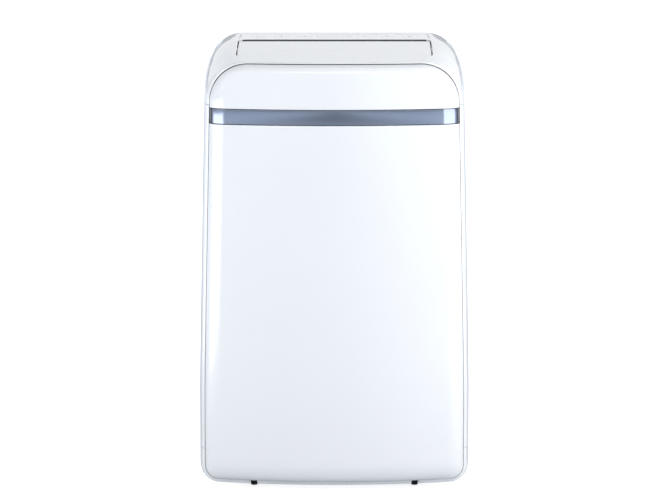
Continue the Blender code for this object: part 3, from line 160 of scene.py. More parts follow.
def rear_section(turn, wall):
    inset = wall + (REAR_RADIUS - wall) * (1 - math.cos(turn))
    return (
        HALF - inset,
        FLOOR_GAP + inset,
        HEIGHT - inset,
        BOTTOM_RADIUS - inset * 0.5,
        TOP_RADIUS - inset * 0.5,
        REAR_Y - wall - (REAR_RADIUS - wall) * (1 - math.sin(turn)) - FRONT_Y,
        0.0,
    )


def rim_section(wall):
    """The inner edge of the rim that frames the front."""
    half = RIM_HALF - RIM_FACE
    return (
        half,
        FLOOR_GAP + LIP_HEIGHT - PANEL_GAP,
        RIM_TOP - RIM_FACE * 0.5,
        BOTTOM_RADIUS - RIM_FACE,
        RIM_RADIUS - RIM_FACE * 0.5,
        RIM_SETBACK - RIM_PROUD + wall,
        BOW * (half / RIM_HALF) ** 2,
    )


def quarter_turns(steps):
    """Even turns from nothing to a right angle."""
    return [math.radians(90) * k / steps for k in range(steps + 1)]


def blend_of(first, second, share):
    return tuple(a + (b - a) * share for a, b in zip(first, second))


CREASE_STEPS = 6
SWELL_STEPS = 22
REAR_STEPS = 10
CREASE_REACH = 0.0042


def casing_sections(wall, end):
    """Sections of the casing from its rim back to end, or all the way round its rear edge."""
    start = rim_section(wall)
    sections = [start]
    corner = casing_section(0.0, wall)
    if wall:
        corner = corner[:5] + (corner[5] + wall, corner[6])
        sections += [blend_of(start, corner, (k + 1) / (CREASE_STEPS + 1)) for k in range(CREASE_STEPS)]
    else:
        near = blend_of(start, corner, 0.5)
        far = casing_section(CREASE_REACH, wall)
        for k in range(CREASE_STEPS):
            share = k / (CREASE_STEPS - 1)
            sections.append(blend_of(blend_of(near, corner, share), blend_of(corner, far, share), share))
    swell = SWELL_DEPTHS[-1]
    begin = CREASE_REACH + 0.002
    for k in range(SWELL_STEPS + 1):
        sections.append(casing_section(begin + (swell - begin) * (k / SWELL_STEPS) ** 1.4, wall))
    split = (SIDE_END if end else REAR_START) - FRONT_Y - RIM_SETBACK
    between = casing_section(swell + (split - swell) * 0.5, wall)
    sections.append(between[:5] + (RIM_SETBACK + (swell + split) / 2, 0.0))
    sections.append(casing_section(swell, wall)[:5] + (RIM_SETBACK + split, 0.0))
    if not end:
        sections += [rear_section(turn, wall) for turn in quarter_turns(REAR_STEPS)]
    return sections


CORNER_FINE = 180
SIDE_FINE = 120
CORNER_WEIGHT = 0.07


def outline(section):
    """The right half of a section, finely drawn, with a measure along it that counts its corners a little longer."""
    half, low, high, low_radius, high_radius = section[:5]
    side_low, side_high = low + low_radius, high - high_radius
    flat_low = half - low_radius
    flat_high = half - lean(side_high) - high_radius
    turn = np.linspace(0, math.pi / 2, CORNER_FINE)
    heights = np.linspace(side_low, side_high, SIDE_FINE)[1:-1]
    x = np.concatenate(
        [[0.0], flat_low + low_radius * np.sin(turn), [half - lean(z) for z in heights],
         flat_high + high_radius * np.cos(turn), [0.0]]
    )
    z = np.concatenate(
        [[low], side_low - low_radius * np.cos(turn), heights, side_high + high_radius * np.sin(turn), [high]]
    )
    step = np.hypot(np.diff(x), np.diff(z))
    heading = np.unwrap(np.arctan2(np.diff(z), np.diff(x)))
    turned = np.concatenate([[0.0], np.abs(np.diff(heading))])
    measure = np.concatenate([[0.0], np.cumsum(step + CORNER_WEIGHT * turned)])
    return x, z, measure


def half_ring(section, start, end, flat_steps, steps):
    """Points of the right half between two heights. None starts or ends it in the middle, across a flat."""
    x, z, measure = outline(section)
    first = measure[1] if start is None else np.interp(start, z[1:-1], measure[1:-1])
    last = measure[-2] if end is None else np.interp(end, z[1:-1], measure[1:-1])
    at = np.linspace(first, last, steps + 1)
    points = list(zip(np.interp(at, measure, x), np.interp(at, measure, z)))
    if start is None:
        points = [(x[1] * k / flat_steps, z[0]) for k in range(flat_steps)] + points
    if end is None:
        points += [(x[-2] * (1 - k / flat_steps), z[-1]) for k in range(1, flat_steps + 1)]
    half, bow = section[0], section[6]
    return [(px, FRONT_Y + section[5] + bow * (px / half) ** 2, pz) for px, pz in points]


def wrapped(right, centre_first):
    """A half ring and its mirror image, joined in the middle."""
    left = [(-x, y, z) for x, y, z in right]
    return left[:0:-1] + right if centre_first else right + left[-2::-1]


# ---------------------------------------------------------------- mesh helpers
def new_object(name, mesh):
    made = bpy.data.objects.new(name, mesh)
    bpy.context.scene.collection.objects.link(made)
    return made


def only(obj):
    """Selects one object alone and makes it active."""
    if bpy.context.object and bpy.context.object.mode != "OBJECT":
        bpy.ops.object.mode_set(mode="OBJECT")
    bpy.ops.object.select_all(action="DESELECT")
    obj.select_set(True)
    bpy.context.view_layer.objects.active = obj
    return obj


def apply_all(obj):
    only(obj)
    for step in [m.name for m in obj.modifiers]:
        bpy.ops.object.modifier_apply(modifier=step)
    return obj


def grid_faces(rows, columns):
    """Faces of a grid of points listed row by row."""
    return [
        (j * columns + i, j * columns + i + 1, (j + 1) * columns + i + 1, (j + 1) * columns + i)
        for j in range(rows - 1)
        for i in range(columns - 1)
    ]


def thick(name, outer, inner, faces):
    """A closed wall between two sheets that share their faces. The open edges of the sheets are joined."""
    count = len(outer)
    uses = {}
    for face in faces:
        for a, b in zip(face, face[1:] + face[:1]):
            uses.setdefault(frozenset((a, b)), []).append((a, b))
    border = [pairs[0] for pairs in uses.values() if len(pairs) == 1]
    walls = [(b, a, a + count, b + count) for a, b in border]
    back = [tuple(k + count for k in reversed(face)) for face in faces]
    mesh = bpy.data.meshes.new(name)
    mesh.from_pydata(list(outer) + list(inner), [], list(faces) + back + walls)
    work = bmesh.new()
    work.from_mesh(mesh)
    bmesh.ops.recalc_face_normals(work, faces=work.faces)
    work.to_mesh(mesh)
    work.free()
    return new_object(name, mesh)


def round_edges(obj, width, segments=2, angle=40.0):
    bevel = obj.modifiers.new("Round", "BEVEL")
    bevel.width = width
    bevel.segments = segments
    bevel.limit_method = "ANGLE"
    bevel.angle_limit = math.radians(angle)
    bevel.harden_normals = False
    return apply_all(obj)


def smooth(obj, angle=38.0):
    """Smooth shading that keeps wide faces flat beside their rounded edges."""
    only(obj)
    bpy.ops.object.shade_smooth_by_angle(angle=math.radians(angle))
    weighted = obj.modifiers.new("Weighted", "WEIGHTED_NORMAL")
    weighted.mode = "FACE_AREA"
    weighted.weight = 60
    weighted.keep_sharp = True
    return apply_all(obj)


def combined(obj, operation, tools):
    """Joins the tools to a piece, or cuts them out of it, and removes them."""
    for tool in tools:
        step = obj.modifiers.new("Step", "BOOLEAN")
        step.operation = operation
        step.solver = "EXACT"
        step.object = tool
    apply_all(obj)
    for tool in tools:
        bpy.data.objects.remove(tool, do_unlink=True)
    return obj


def cut(obj, *tools):
    return combined(obj, "DIFFERENCE", tools)


def unite(obj, *others):
    return combined(obj, "UNION", others)


def settle(obj):
    """Moves an object's place into its mesh."""
    only(obj)
    bpy.ops.object.transform_apply(location=True, rotation=True, scale=True)
    return obj


def block(name, low, high, rounding=0.0, segments=3):
    """A box between two corners with its edges rounded."""
    low, high = Vector(low), Vector(high)
    bpy.ops.object.select_all(action="DESELECT")
    bpy.ops.mesh.primitive_cube_add(size=1.0, location=(low + high) / 2)
    made = bpy.context.object
    made.name = made.data.name = name
    made.scale = high - low
    settle(made)
    if rounding:
        bpy.ops.object.mode_set(mode="EDIT")
        bpy.ops.mesh.select_all(action="SELECT")
        bpy.ops.mesh.bevel(offset=rounding, segments=segments, affect="EDGES")
        bpy.ops.object.mode_set(mode="OBJECT")
    return made


ALONG = {"X": Vector((1, 0, 0)), "Y": Vector((0, 1, 0)), "Z": Vector((0, 0, 1))}
AXIS_TURN = {"X": (0, math.pi / 2, 0), "Y": (-math.pi / 2, 0, 0), "Z": (0, 0, 0)}


def round_bar(name, start, length, radius, axis, sides):
    """A cylinder that runs from start along +axis."""
    bpy.ops.object.select_all(action="DESELECT")
    bpy.ops.mesh.primitive_cone_add(
        vertices=sides, radius1=radius, radius2=radius, depth=length,
        location=Vector(start) + ALONG[axis] * length / 2, rotation=AXIS_TURN[axis],
    )
    made = bpy.context.object
    made.name = made.data.name = name
    return settle(made)


def lathe(name, profile, origin, axis, steps=72):
    """A profile of (radius, distance) points spun round an axis through the origin."""
    place = {"X": lambda r, h: (h, r, 0), "Y": lambda r, h: (r, h, 0), "Z": lambda r, h: (r, 0, h)}[axis]
    mesh = bpy.data.meshes.new(name)
    closed = profile[0][0] > 1e-6
    count = len(profile)
    edges = [(k, (k + 1) % count) for k in range(count if closed else count - 1)]
    mesh.from_pydata([Vector(place(r, h)) + Vector(origin) for r, h in profile], edges, [])
    made = only(new_object(name, mesh))
    bpy.ops.object.mode_set(mode="EDIT")
    bpy.ops.mesh.select_all(action="SELECT")
    bpy.ops.mesh.spin(steps=steps, angle=2 * math.pi, center=origin, axis=ALONG[axis])
    bpy.ops.mesh.select_all(action="SELECT")
    bpy.ops.mesh.remove_doubles(threshold=0.00002)
    bpy.ops.mesh.normals_make_consistent(inside=False)
    bpy.ops.object.mode_set(mode="OBJECT")
    return made


def fillet(points, radius, steps=6):
    """Rounds the marked corners of a profile. Each point is (x, y) or (x, y, its own radius)."""
    made = []
    count = len(points)
    for k, point in enumerate(points):
        here = Vector(point[:2])
        size = point[2] if len(point) > 2 else radius
        if size <= 0 or k in (0, count - 1):
            made.append(tuple(here))
            continue
        before, after = Vector(points[k - 1][:2]) - here, Vector(points[(k + 1) % count][:2]) - here
        size = min(size, before.length * 0.48, after.length * 0.48)
        start, end = here + before.normalized() * size, here + after.normalized() * size
        for i in range(steps + 1):
            t = i / steps
            made.append(tuple(start * (1 - t) ** 2 + here * 2 * t * (1 - t) + end * t * t))
    return made


def rounded_outline(half_u, half_v, radius, steps=10, bow=0.0, bow_steps=12):
    """A rectangle with round corners. Its front edge, at -v, can bow back towards its ends."""
    points = []
    for quarter, (su, sv) in enumerate(((1, 1), (-1, 1), (-1, -1), (1, -1))):
        for i in range(steps + 1):
            turn = math.radians(90) * (quarter + i / steps)
            u = su * (half_u - radius) + radius * math.cos(turn)
            v = sv * (half_v - radius) + radius * math.sin(turn)
            points.append((u, v + (bow * (u / half_u) ** 2 if sv < 0 else 0.0)))
        if quarter == 2 and bow:
            for i in range(1, bow_steps):
                u = (half_u - radius) * (2 * i / bow_steps - 1)
                points.append((u, -half_v + bow * (u / half_u) ** 2))
    return points


def grown(points, amount):
    """An outline moved out from its middle by an amount, or in where that is negative."""
    moved = []
    for u, v in points:
        out = Vector((u, v)).normalized() * amount
        moved.append((u + out.x, v + out.y))
    return moved


def bridge(work, loops):
    """Faces between each loop of points and the next."""
    for first, second in zip(loops, loops[1:]):
        for i in range(len(first)):
            j = (i + 1) % len(first)
            work.faces.new((first[i], first[j], second[j], second[i]))


def finished(work, name):
    """The worked mesh as an object, with its faces outward."""
    bmesh.ops.recalc_face_normals(work, faces=work.faces)
    mesh = bpy.data.meshes.new(name)
    work.to_mesh(mesh)
    work.free()
    return new_object(name, mesh)


def lofted(name, rings):
    """A solid through rings with the same number of points, closed at both ends."""
    work = bmesh.new()
    loops = [[work.verts.new(point) for point in ring] for ring in rings]
    bridge(work, loops)
    work.faces.new(loops[0])
    work.faces.new(loops[-1])
    return finished(work, name)


def joined(name, pieces):
    """Several pieces as one object with one mesh."""
    work = bmesh.new()
    for piece in pieces:
        work.from_mesh(piece.data)
        bpy.data.objects.remove(piece, do_unlink=True)
    mesh = bpy.data.meshes.new(name)
    work.to_mesh(mesh)
    work.free()
    return new_object(name, mesh)


# ---------------------------------------------------------------- finishes
def node_group(name, inputs, outputs):
    tree = bpy.data.node_groups.new(name, "ShaderNodeTree")
    for label, kind, value in inputs:
        socket = tree.interface.new_socket(name=label, in_out="INPUT", socket_type=kind)
        socket.default_value = value
    for label, kind in outputs:
        tree.interface.new_socket(name=label, in_out="OUTPUT", socket_type=kind)
    return tree, tree.nodes.new("NodeGroupInput"), tree.nodes.new("NodeGroupOutput")


def math_node(tree, operation, first, second, third=None, clamp=False):
    node = tree.nodes.new("ShaderNodeMath")
    node.operation = operation
    node.use_clamp = clamp
    for socket, value in zip(node.inputs, (first, second, third)):
        if value is None:
            continue
        if isinstance(value, (int, float)):
            socket.default_value = value
        else:
            tree.links.new(value, socket)
    return node.outputs[0]


def mixed(tree, factor, first, second):
    """A mix of two colours, each of them even or from a socket."""
    node = tree.nodes.new("ShaderNodeMix")
    node.data_type = "RGBA"
    for label, value in (("Factor", factor), ("A", first), ("B", second)):
        if isinstance(value, tuple):
            node.inputs[label].default_value = (*value, 1.0)
        else:
            tree.links.new(value, node.inputs[label])
    return node.outputs["Result"]


def part_of(tree, vector, axis):
    """One part of a vector, along X, Y or Z."""
    split = tree.nodes.new("ShaderNodeSeparateXYZ")
    tree.links.new(vector, split.inputs[0])
    return split.outputs[axis]


def relief(tree, shader, height, strength, distance):
    """Fine relief on the shader's normal."""
    bump = tree.nodes.new("ShaderNodeBump")
    bump.inputs["Strength"].default_value = strength
    bump.inputs["Distance"].default_value = distance
    tree.links.new(height, bump.inputs["Height"])
    tree.links.new(bump.outputs["Normal"], shader.inputs["Normal"])


def noise(tree, vector, scale, detail=2.0, roughness=0.5):
    node = tree.nodes.new("ShaderNodeTexNoise")
    node.inputs["Detail"].default_value = detail
    node.inputs["Roughness"].default_value = roughness
    tree.links.new(vector, node.inputs["Vector"])
    if isinstance(scale, (int, float)):
        node.inputs["Scale"].default_value = scale
    else:
        tree.links.new(scale, node.inputs["Scale"])
    return node.outputs["Fac"]


SURFACE_RESULTS = (("Colour", "NodeSocketColor"), ("Roughness", "NodeSocketFloat"), ("Height", "NodeSocketFloat"))


def make_moulded_group():
    """Colour drift, roughness mottling, dust on upward faces, and a fine moulded grain."""
    tree, given, result = node_group(
        "moulded_surface",
        [
            ("Vector", "NodeSocketVector", (0, 0, 0)),
            ("Colour", "NodeSocketColor", (0.8, 0.8, 0.8, 1)),
            ("Drift Colour", "NodeSocketColor", (0.7, 0.7, 0.7, 1)),
            ("Dust Colour", "NodeSocketColor", (0.6, 0.58, 0.55, 1)),
            ("Dust", "NodeSocketFloat", 0.05),
            ("Roughness", "NodeSocketFloat", 0.3),
            ("Mottle", "NodeSocketFloat", 0.08),
            ("Grain Scale", "NodeSocketFloat", 900.0),
        ],
        SURFACE_RESULTS,
    )
    vector = given.outputs["Vector"]
    drift = noise(tree, vector, 3.2, 3.0)
    mottle = noise(tree, vector, 26.0, 5.0, 0.6)
    specks = noise(tree, vector, 420.0, 2.0, 0.7)
    grain = noise(tree, vector, given.outputs["Grain Scale"], 2.0, 0.55)
    wave = noise(tree, vector, 75.0, 1.0)
    base = mixed(tree, math_node(tree, "MULTIPLY", drift, 0.9, clamp=True),
                 given.outputs["Colour"], given.outputs["Drift Colour"])
    facing = tree.nodes.new("ShaderNodeNewGeometry").outputs["Normal"]
    upward = math_node(tree, "MULTIPLY_ADD", part_of(tree, facing, "Z"), 0.7, 0.3, clamp=True)
    settled = math_node(tree, "MULTIPLY", upward, math_node(tree, "MULTIPLY", specks, mottle))
    dust = math_node(tree, "MULTIPLY", settled, given.outputs["Dust"], clamp=True)
    tree.links.new(mixed(tree, dust, base, given.outputs["Dust Colour"]), result.inputs["Colour"])
    spread = math_node(tree, "SUBTRACT", mottle, 0.5)
    rough = math_node(tree, "MULTIPLY_ADD", spread, given.outputs["Mottle"], given.outputs["Roughness"])
    rough = math_node(tree, "ADD", rough, dust, clamp=True)
    tree.links.new(rough, result.inputs["Roughness"])
    height = math_node(tree, "MULTIPLY_ADD", wave, 0.6, grain)
    tree.links.new(height, result.inputs["Height"])
    return tree


def make_drawn_group():
    """Fine drawn lines along one axis, with stains, for bare metal."""
    tree, given, result = node_group(
        "drawn_metal",
        [
            ("Vector", "NodeSocketVector", (0, 0, 0)),
            ("Colour", "NodeSocketColor", (0.6, 0.6, 0.6, 1)),
            ("Stain Colour", "NodeSocketColor", (0.4, 0.4, 0.4, 1)),
            ("Roughness", "NodeSocketFloat", 0.35),
            ("Line Scale", "NodeSocketFloat", 300.0),
        ],
        SURFACE_RESULTS,
    )
    stretch = tree.nodes.new("ShaderNodeMapping")
    stretch.inputs["Scale"].default_value = (0.04, 1.0, 1.0)
    tree.links.new(given.outputs["Vector"], stretch.inputs["Vector"])
    lines = noise(tree, stretch.outputs["Vector"], given.outputs["Line Scale"], 3.0, 0.7)
    stains = noise(tree, given.outputs["Vector"], 34.0, 6.0, 0.65)
    mask = math_node(tree, "MULTIPLY_ADD", stains, 2.2, -0.75, clamp=True)
    stained = mixed(tree, mask, given.outputs["Colour"], given.outputs["Stain Colour"])
    tree.links.new(stained, result.inputs["Colour"])
    rough = math_node(tree, "MULTIPLY_ADD", math_node(tree, "SUBTRACT", lines, 0.5), 0.25, given.outputs["Roughness"])
    tree.links.new(math_node(tree, "MULTIPLY_ADD", mask, 0.15, rough, clamp=True), result.inputs["Roughness"])
    tree.links.new(lines, result.inputs["Height"])
    return tree


MOULDED = make_moulded_group()
DRAWN = make_drawn_group()


def new_material(name, **values):
    """A material with its shader, whose even values are set on the shader's own sockets."""
    made = bpy.data.materials.new(name)
    made.use_nodes = True
    tree = made.node_tree
    shader = tree.nodes["Principled BSDF"]
    for label, value in values.items():
        shader.inputs[label.replace("_", " ").title().replace("Ior", "IOR")].default_value = value
    place = tree.nodes.new("ShaderNodeTexCoord").outputs["Object"]
    return made, tree, shader, place


def surface(tree, shader, group, place, bump, distance, **values):
    """Places a shared effect in a material and joins it to the shader."""
    node = tree.nodes.new("ShaderNodeGroup")
    node.node_tree = group
    tree.links.new(place, node.inputs["Vector"])
    for label, value in values.items():
        socket = node.inputs[label.replace("_", " ").title()]
        socket.default_value = (*value, 1.0) if isinstance(value, tuple) else value
    tree.links.new(node.outputs["Colour"], shader.inputs["Base Color"])
    tree.links.new(node.outputs["Roughness"], shader.inputs["Roughness"])
    relief(tree, shader, node.outputs["Height"], bump, distance)
    return node


def moulded(name, bump, distance, colour, drift, dust, rough, mottle, grain, **values):
    made, tree, shader, place = new_material(name, **values)
    surface(tree, shader, MOULDED, place, bump, distance, colour=colour, drift_colour=drift, dust=dust,
            roughness=rough, mottle=mottle, grain_scale=grain)
    return made


def matt_plastic(name, colour, second, rough):
    return moulded(name, 0.4, 0.0003, colour, second, 0.15, rough, 0.16, 1100.0, ior=1.46)


# Painted shade: past this distance from the middle the trim's colour is painted near black, for the dark reflection
# and shade at its ends.
TRIM_END_SHADE_FROM = 0.2062
TRIM_END_SHADE_COLOUR = (0.05, 0.06, 0.08)


def trim_metal():
    """Blue-grey metal whose two ends are painted near black: painted shade and painted reflection of the dark at the
    band's grazing ends.
    """
    made, tree, shader, place = new_material("trim_metal", metallic=0.92, coat_weight=0.5, coat_roughness=0.03)
    node = surface(tree, shader, MOULDED, place, 0.05, 0.0001, colour=(0.34, 0.39, 0.49),
                   drift_colour=(0.31, 0.36, 0.46), dust=0.02, roughness=0.16, mottle=0.05, grain_scale=1500.0)
    # Painted shade: this mask is 1 at the band's two ends, which take the near-black colour in place of the metal's
    # own.
    cap = math_node(tree, "GREATER_THAN", math_node(tree, "ABSOLUTE", part_of(tree, place, "X"), None), TRIM_END_SHADE_FROM)
    tree.links.new(mixed(tree, cap, node.outputs["Colour"], TRIM_END_SHADE_COLOUR), shader.inputs["Base Color"])
    return made


def bare_metal(name, colour, stain, rough):
    made, tree, shader, place = new_material(name, metallic=1.0)
    surface(tree, shader, DRAWN, place, 0.25, 0.0002, colour=colour, stain_colour=stain, roughness=rough)
    return made


def striped(tree, place, axis, pitch, share):
    """1 on stripes that cross an axis, 0 between them."""
    turns = math_node(tree, "MULTIPLY", part_of(tree, place, axis), 1.0 / pitch)
    return math_node(tree, "LESS_THAN", math_node(tree, "FRACT", turns, None), share)


FIN_PITCH = 0.0021
THREAD_PITCH = 0.0016


def finned_aluminium():
    """Thin upright fins a couple of millimetres apart, with painted shade: the gaps between them are painted dark."""
    made, tree, shader, place = new_material("finned_aluminium", metallic=0.85)
    node = surface(tree, shader, DRAWN, place, 0.3, 0.0004, colour=(0.70, 0.72, 0.74),
                   stain_colour=(0.50, 0.52, 0.55), roughness=0.38)
    fins = striped(tree, place, "X", FIN_PITCH, 0.45)
    # Painted shade: between the fins the colour is painted near black for the shade in the gaps.
    tree.links.new(mixed(tree, fins, (0.10, 0.11, 0.12), node.outputs["Colour"]), shader.inputs["Base Color"])
    return made


def woven_filter():
    """A grey net of fine threads both ways, with painted shade: the openings between the threads are painted near
    black.
    """
    made, tree, shader, place = new_material("woven_filter", roughness=0.8)
    threads = math_node(tree, "MAXIMUM", *(striped(tree, place, axis, THREAD_PITCH, 0.4) for axis in "XZ"))
    fuzz = math_node(tree, "MULTIPLY", threads, noise(tree, place, 900.0, 2.0), clamp=True)
    # Painted shade: where there is no thread the colour is painted near black for the shade seen through the
    # openings.
    tree.links.new(mixed(tree, fuzz, (0.05, 0.052, 0.056), (0.55, 0.56, 0.58)), shader.inputs["Base Color"])
    relief(tree, shader, threads, 0.6, 0.0004)
    return made


def circuit_board():
    """Green lacquer with pale solder pads."""
    made, tree, shader, place = new_material("circuit_board", coat_weight=0.6, coat_roughness=0.1)
    node = surface(tree, shader, MOULDED, place, 0.2, 0.0002, colour=(0.02, 0.13, 0.06),
                   drift_colour=(0.015, 0.10, 0.05), dust=0.1, roughness=0.35, mottle=0.1, grain_scale=800.0)
    cells = tree.nodes.new("ShaderNodeTexVoronoi")
    cells.distance = "CHEBYCHEV"
    cells.inputs["Scale"].default_value = 130.0
    tree.links.new(place, cells.inputs["Vector"])
    pads = math_node(tree, "LESS_THAN", cells.outputs["Distance"], 0.16)
    tree.links.new(mixed(tree, pads, node.outputs["Colour"], (0.62, 0.60, 0.52)), shader.inputs["Base Color"])
    return made


FINISH = {
    "white_plastic": moulded("gloss_white", 0.10, 0.0002, (0.862, 0.876, 0.895), (0.845, 0.861, 0.884), 0.03, 0.16,
                             0.06, 700.0, ior=1.5, coat_weight=1.0, coat_roughness=0.03),
    "satin_white": moulded("satin_white", 0.35, 0.0003, (0.80, 0.825, 0.865), (0.77, 0.80, 0.845), 0.08, 0.42,
                           0.10, 1400.0, ior=1.48),
    "silver_trim": trim_metal(),
    "grey_plastic": matt_plastic("matt_grey", (0.40, 0.41, 0.43), (0.34, 0.35, 0.37), 0.5),
    "icon_grey": matt_plastic("icon_grey", (0.20, 0.215, 0.24), (0.17, 0.185, 0.21), 0.55),
    "dark_plastic": matt_plastic("matt_dark", (0.040, 0.043, 0.050), (0.028, 0.030, 0.036), 0.5),
    "rubber": matt_plastic("rubber", (0.024, 0.024, 0.027), (0.034, 0.034, 0.036), 0.78),
    "smoke_window": moulded("smoked_window", 0.03, 0.0001, (0.055, 0.060, 0.072), (0.045, 0.050, 0.062), 0.05, 0.10,
                            0.04, 600.0, ior=1.52, coat_weight=1.0, coat_roughness=0.02),
    "filter_mesh": woven_filter(),
    "aluminium_fins": finned_aluminium(),
    "steel": bare_metal("galvanised_steel", (0.55, 0.56, 0.58), (0.40, 0.41, 0.43), 0.38),
    "black_steel": matt_plastic("black_enamel", (0.018, 0.018, 0.020), (0.026, 0.026, 0.028), 0.3),
    "copper": bare_metal("drawn_copper", (0.74, 0.38, 0.22), (0.40, 0.20, 0.13), 0.28),
    "circuit_board": circuit_board(),
}


def dress(obj, slot, body, *nodes, look=None):
    """Gives a finished piece its material and body, and hides the model's nodes that it stands for."""
    obj.data.materials.clear()
    obj.data.materials.append(FINISH[look or slot])
    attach(obj, body)
    if nodes:
        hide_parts(*nodes)
    return obj


# ---------------------------------------------------------------- casing covers
HALF_STEPS_BASE = 26
HALF_STEPS_SIDE = 44
HALF_STEPS_TOP = 40
FLAT_STEPS = 6


def walled(name, rows_of, rounding=SEAM_ROUND, segments=2, closed=False):
    """A wall between two sheets of points. rows_of gives a sheet's rows for its depth under the outer face."""
    outer, inner = rows_of(0.0), rows_of(WALL)
    rows, columns = len(outer), len(outer[0])
    faces = grid_faces(rows, columns)
    if closed:
        faces.append(tuple((rows - 1) * columns + i for i in range(columns)))
    sheets = [[point for row in sheet for point in row] for sheet in (outer, inner)]
    return round_edges(thick(name, *sheets, faces), rounding, segments)


def ring_cover(name, start, end, steps):
    """A cover that wraps over or under the casing, with the flat rear face closed off."""
    def rows_of(wall):
        sections = casing_sections(wall, False)
        return [wrapped(half_ring(section, start, end, FLAT_STEPS, steps), start is None) for section in sections]

    return walled(name, rows_of, closed=True)


def side_cover(name, side):
    def rows_of(wall):
        rings = [half_ring(section, SIDE_LOW, SIDE_HIGH, FLAT_STEPS, HALF_STEPS_SIDE)
                 for section in casing_sections(wall, True)]
        return [[(side * x, y, z) for x, y, z in ring] for ring in rings]

    return walled(name, rows_of)


def rear_cover(name):
    """The rear panel, which turns round both rear corners."""
    def rows_of(wall):
        rows = []
        radius = REAR_RADIUS - wall
        for j in range(HALF_STEPS_SIDE + 1):
            z = SIDE_LOW + (SIDE_HIGH - SIDE_LOW) * j / HALF_STEPS_SIDE
            side = HALF - lean(z) - wall
            right = [(side, REAR_START), (side, (REAR_START + REAR_Y - REAR_RADIUS) / 2)]
            for turn in quarter_turns(REAR_STEPS):
                right.append((side - radius * (1 - math.cos(turn)), REAR_Y - wall - radius * (1 - math.sin(turn))))
            flat = right[-1][0]
            right += [(flat * (1 - k / FLAT_STEPS), REAR_Y - wall) for k in range(1, FLAT_STEPS + 1)]
            rows.append([(x, y, z) for x, y in right] + [(-x, y, z) for x, y in right[-2::-1]])
        return rows

    return walled(name, rows_of)


base = ring_cover("base_shell", None, BASE_SEAM, HALF_STEPS_BASE)
top = ring_cover("top_shell", TOP_SEAM, None, HALF_STEPS_TOP)
left = side_cover("left_side_shell", -1)
right = side_cover("right_side_shell", 1)
rear = rear_cover("rear_shell")

# ---------------------------------------------------------------- front panels
EDGE_STEPS = 20
CAP_STEPS = 24
PANEL_STEPS = 70
COVER_STEPS = 34


def front_sections(wall):
    """Sections of the front, from the lip inside the rim to where its rounded edge ends."""
    half = FRONT_HALF - wall
    low = FLOOR_GAP + LIP_HEIGHT + wall
    high = RIM_TOP - RIM_FACE * 0.5 - PANEL_GAP * 2 - wall
    low_radius = BOTTOM_RADIUS - RIM_FACE - wall
    high_radius = RIM_RADIUS - RIM_FACE * 0.5 - wall
    sections = [
        (half - RETURN_TAPER, low + RETURN_TAPER, high - RETURN_TAPER, low_radius, high_radius,
         EDGE_SETBACK + PANEL_RETURN, BOW)
    ]
    for turn in quarter_turns(EDGE_STEPS):
        inward = 1 - math.cos(turn)
        section_half = half - (EDGE_SIDE - wall) * inward
        sections.append((
            section_half,
            low + (EDGE_BOTTOM - wall) * inward,
            high - (EDGE_TOP - wall) * inward,
            low_radius - (EDGE_SIDE - wall) * inward * 0.6,
            high_radius - (EDGE_SIDE - wall) * inward * 0.6,
            wall + (EDGE_SETBACK - wall) * (1 - math.sin(turn)),
            BOW * (section_half / half) ** 2,
        ))
    return sections


def capped(rings, bow, half, setback):
    """Points and faces of rings whose last one is filled with rows that keep the bow."""
    columns = len(rings[0])
    points = [point for ring in rings for point in ring]
    faces = grid_faces(len(rings), columns)
    base_index = (len(rings) - 1) * columns
    steps = (columns - 1 - CAP_STEPS) // 2
    rows = []
    for i in range(steps):
        left_point, right_point = rings[-1][i], rings[-1][columns - 1 - i]
        row = [base_index + i]
        for k in range(1, CAP_STEPS):
            x = left_point[0] + (right_point[0] - left_point[0]) * k / CAP_STEPS
            points.append((x, FRONT_Y + setback + bow * (x / half) ** 2, left_point[2]))
            row.append(len(points) - 1)
        rows.append(row + [base_index + columns - 1 - i])
    rows.append([base_index + steps + k for k in range(CAP_STEPS + 1)])
    for lower, upper in zip(rows, rows[1:]):
        faces += [(lower[k], lower[k + 1], upper[k + 1], upper[k]) for k in range(CAP_STEPS)]
    return points, faces


def front_cover(name, start, end, steps):
    sheets = []
    for wall in (0.0, WALL):
        sections = front_sections(wall)
        rings = [
            wrapped(half_ring(section, start, end, CAP_STEPS // 2, steps), start is None) for section in sections
        ]
        last = sections[-1]
        sheets.append(capped(rings, last[6], last[0], last[5]))
    return round_edges(thick(name, sheets[0][0], sheets[1][0], sheets[0][1]), SEAM_ROUND)


def trim_path(z, recess, wall):
    """A level line round the front from one lip to the other."""
    half = FRONT_HALF - recess - wall
    right = [(half - RETURN_TAPER - lean(z), recess + EDGE_SETBACK + PANEL_RETURN)]
    for turn in quarter_turns(EDGE_STEPS):
        right.append((half - (EDGE_SIDE - wall) * (1 - math.cos(turn)) - lean(z),
                      recess + wall + (EDGE_SETBACK - wall) * (1 - math.sin(turn))))
    flat = right[-1][0]
    right += [(flat * (1 - k / (CAP_STEPS // 2)), recess + wall) for k in range(1, CAP_STEPS // 2 + 1)]
    right = [(x, FRONT_Y + y + BOW * (x / half) ** 2, z) for x, y in right]
    return wrapped(right, False)


TRIM_ROWS = 6
TRIM_CROWN = 0.0004
TRIM_ROUND = 0.0006


def trim_cover(name):
    """The metallic band, very slightly crowned from edge to edge."""
    def rows_of(wall):
        rows = []
        for j in range(TRIM_ROWS + 1):
            share = j / TRIM_ROWS
            crown = 0.0 if wall else TRIM_CROWN * (1 - (2 * share - 1) ** 2)
            rows.append(trim_path(TRIM_LOW + (TRIM_HIGH - TRIM_LOW) * share, TRIM_RECESS - crown, wall))
        return rows

    return walled(name, rows_of, TRIM_ROUND, 3)


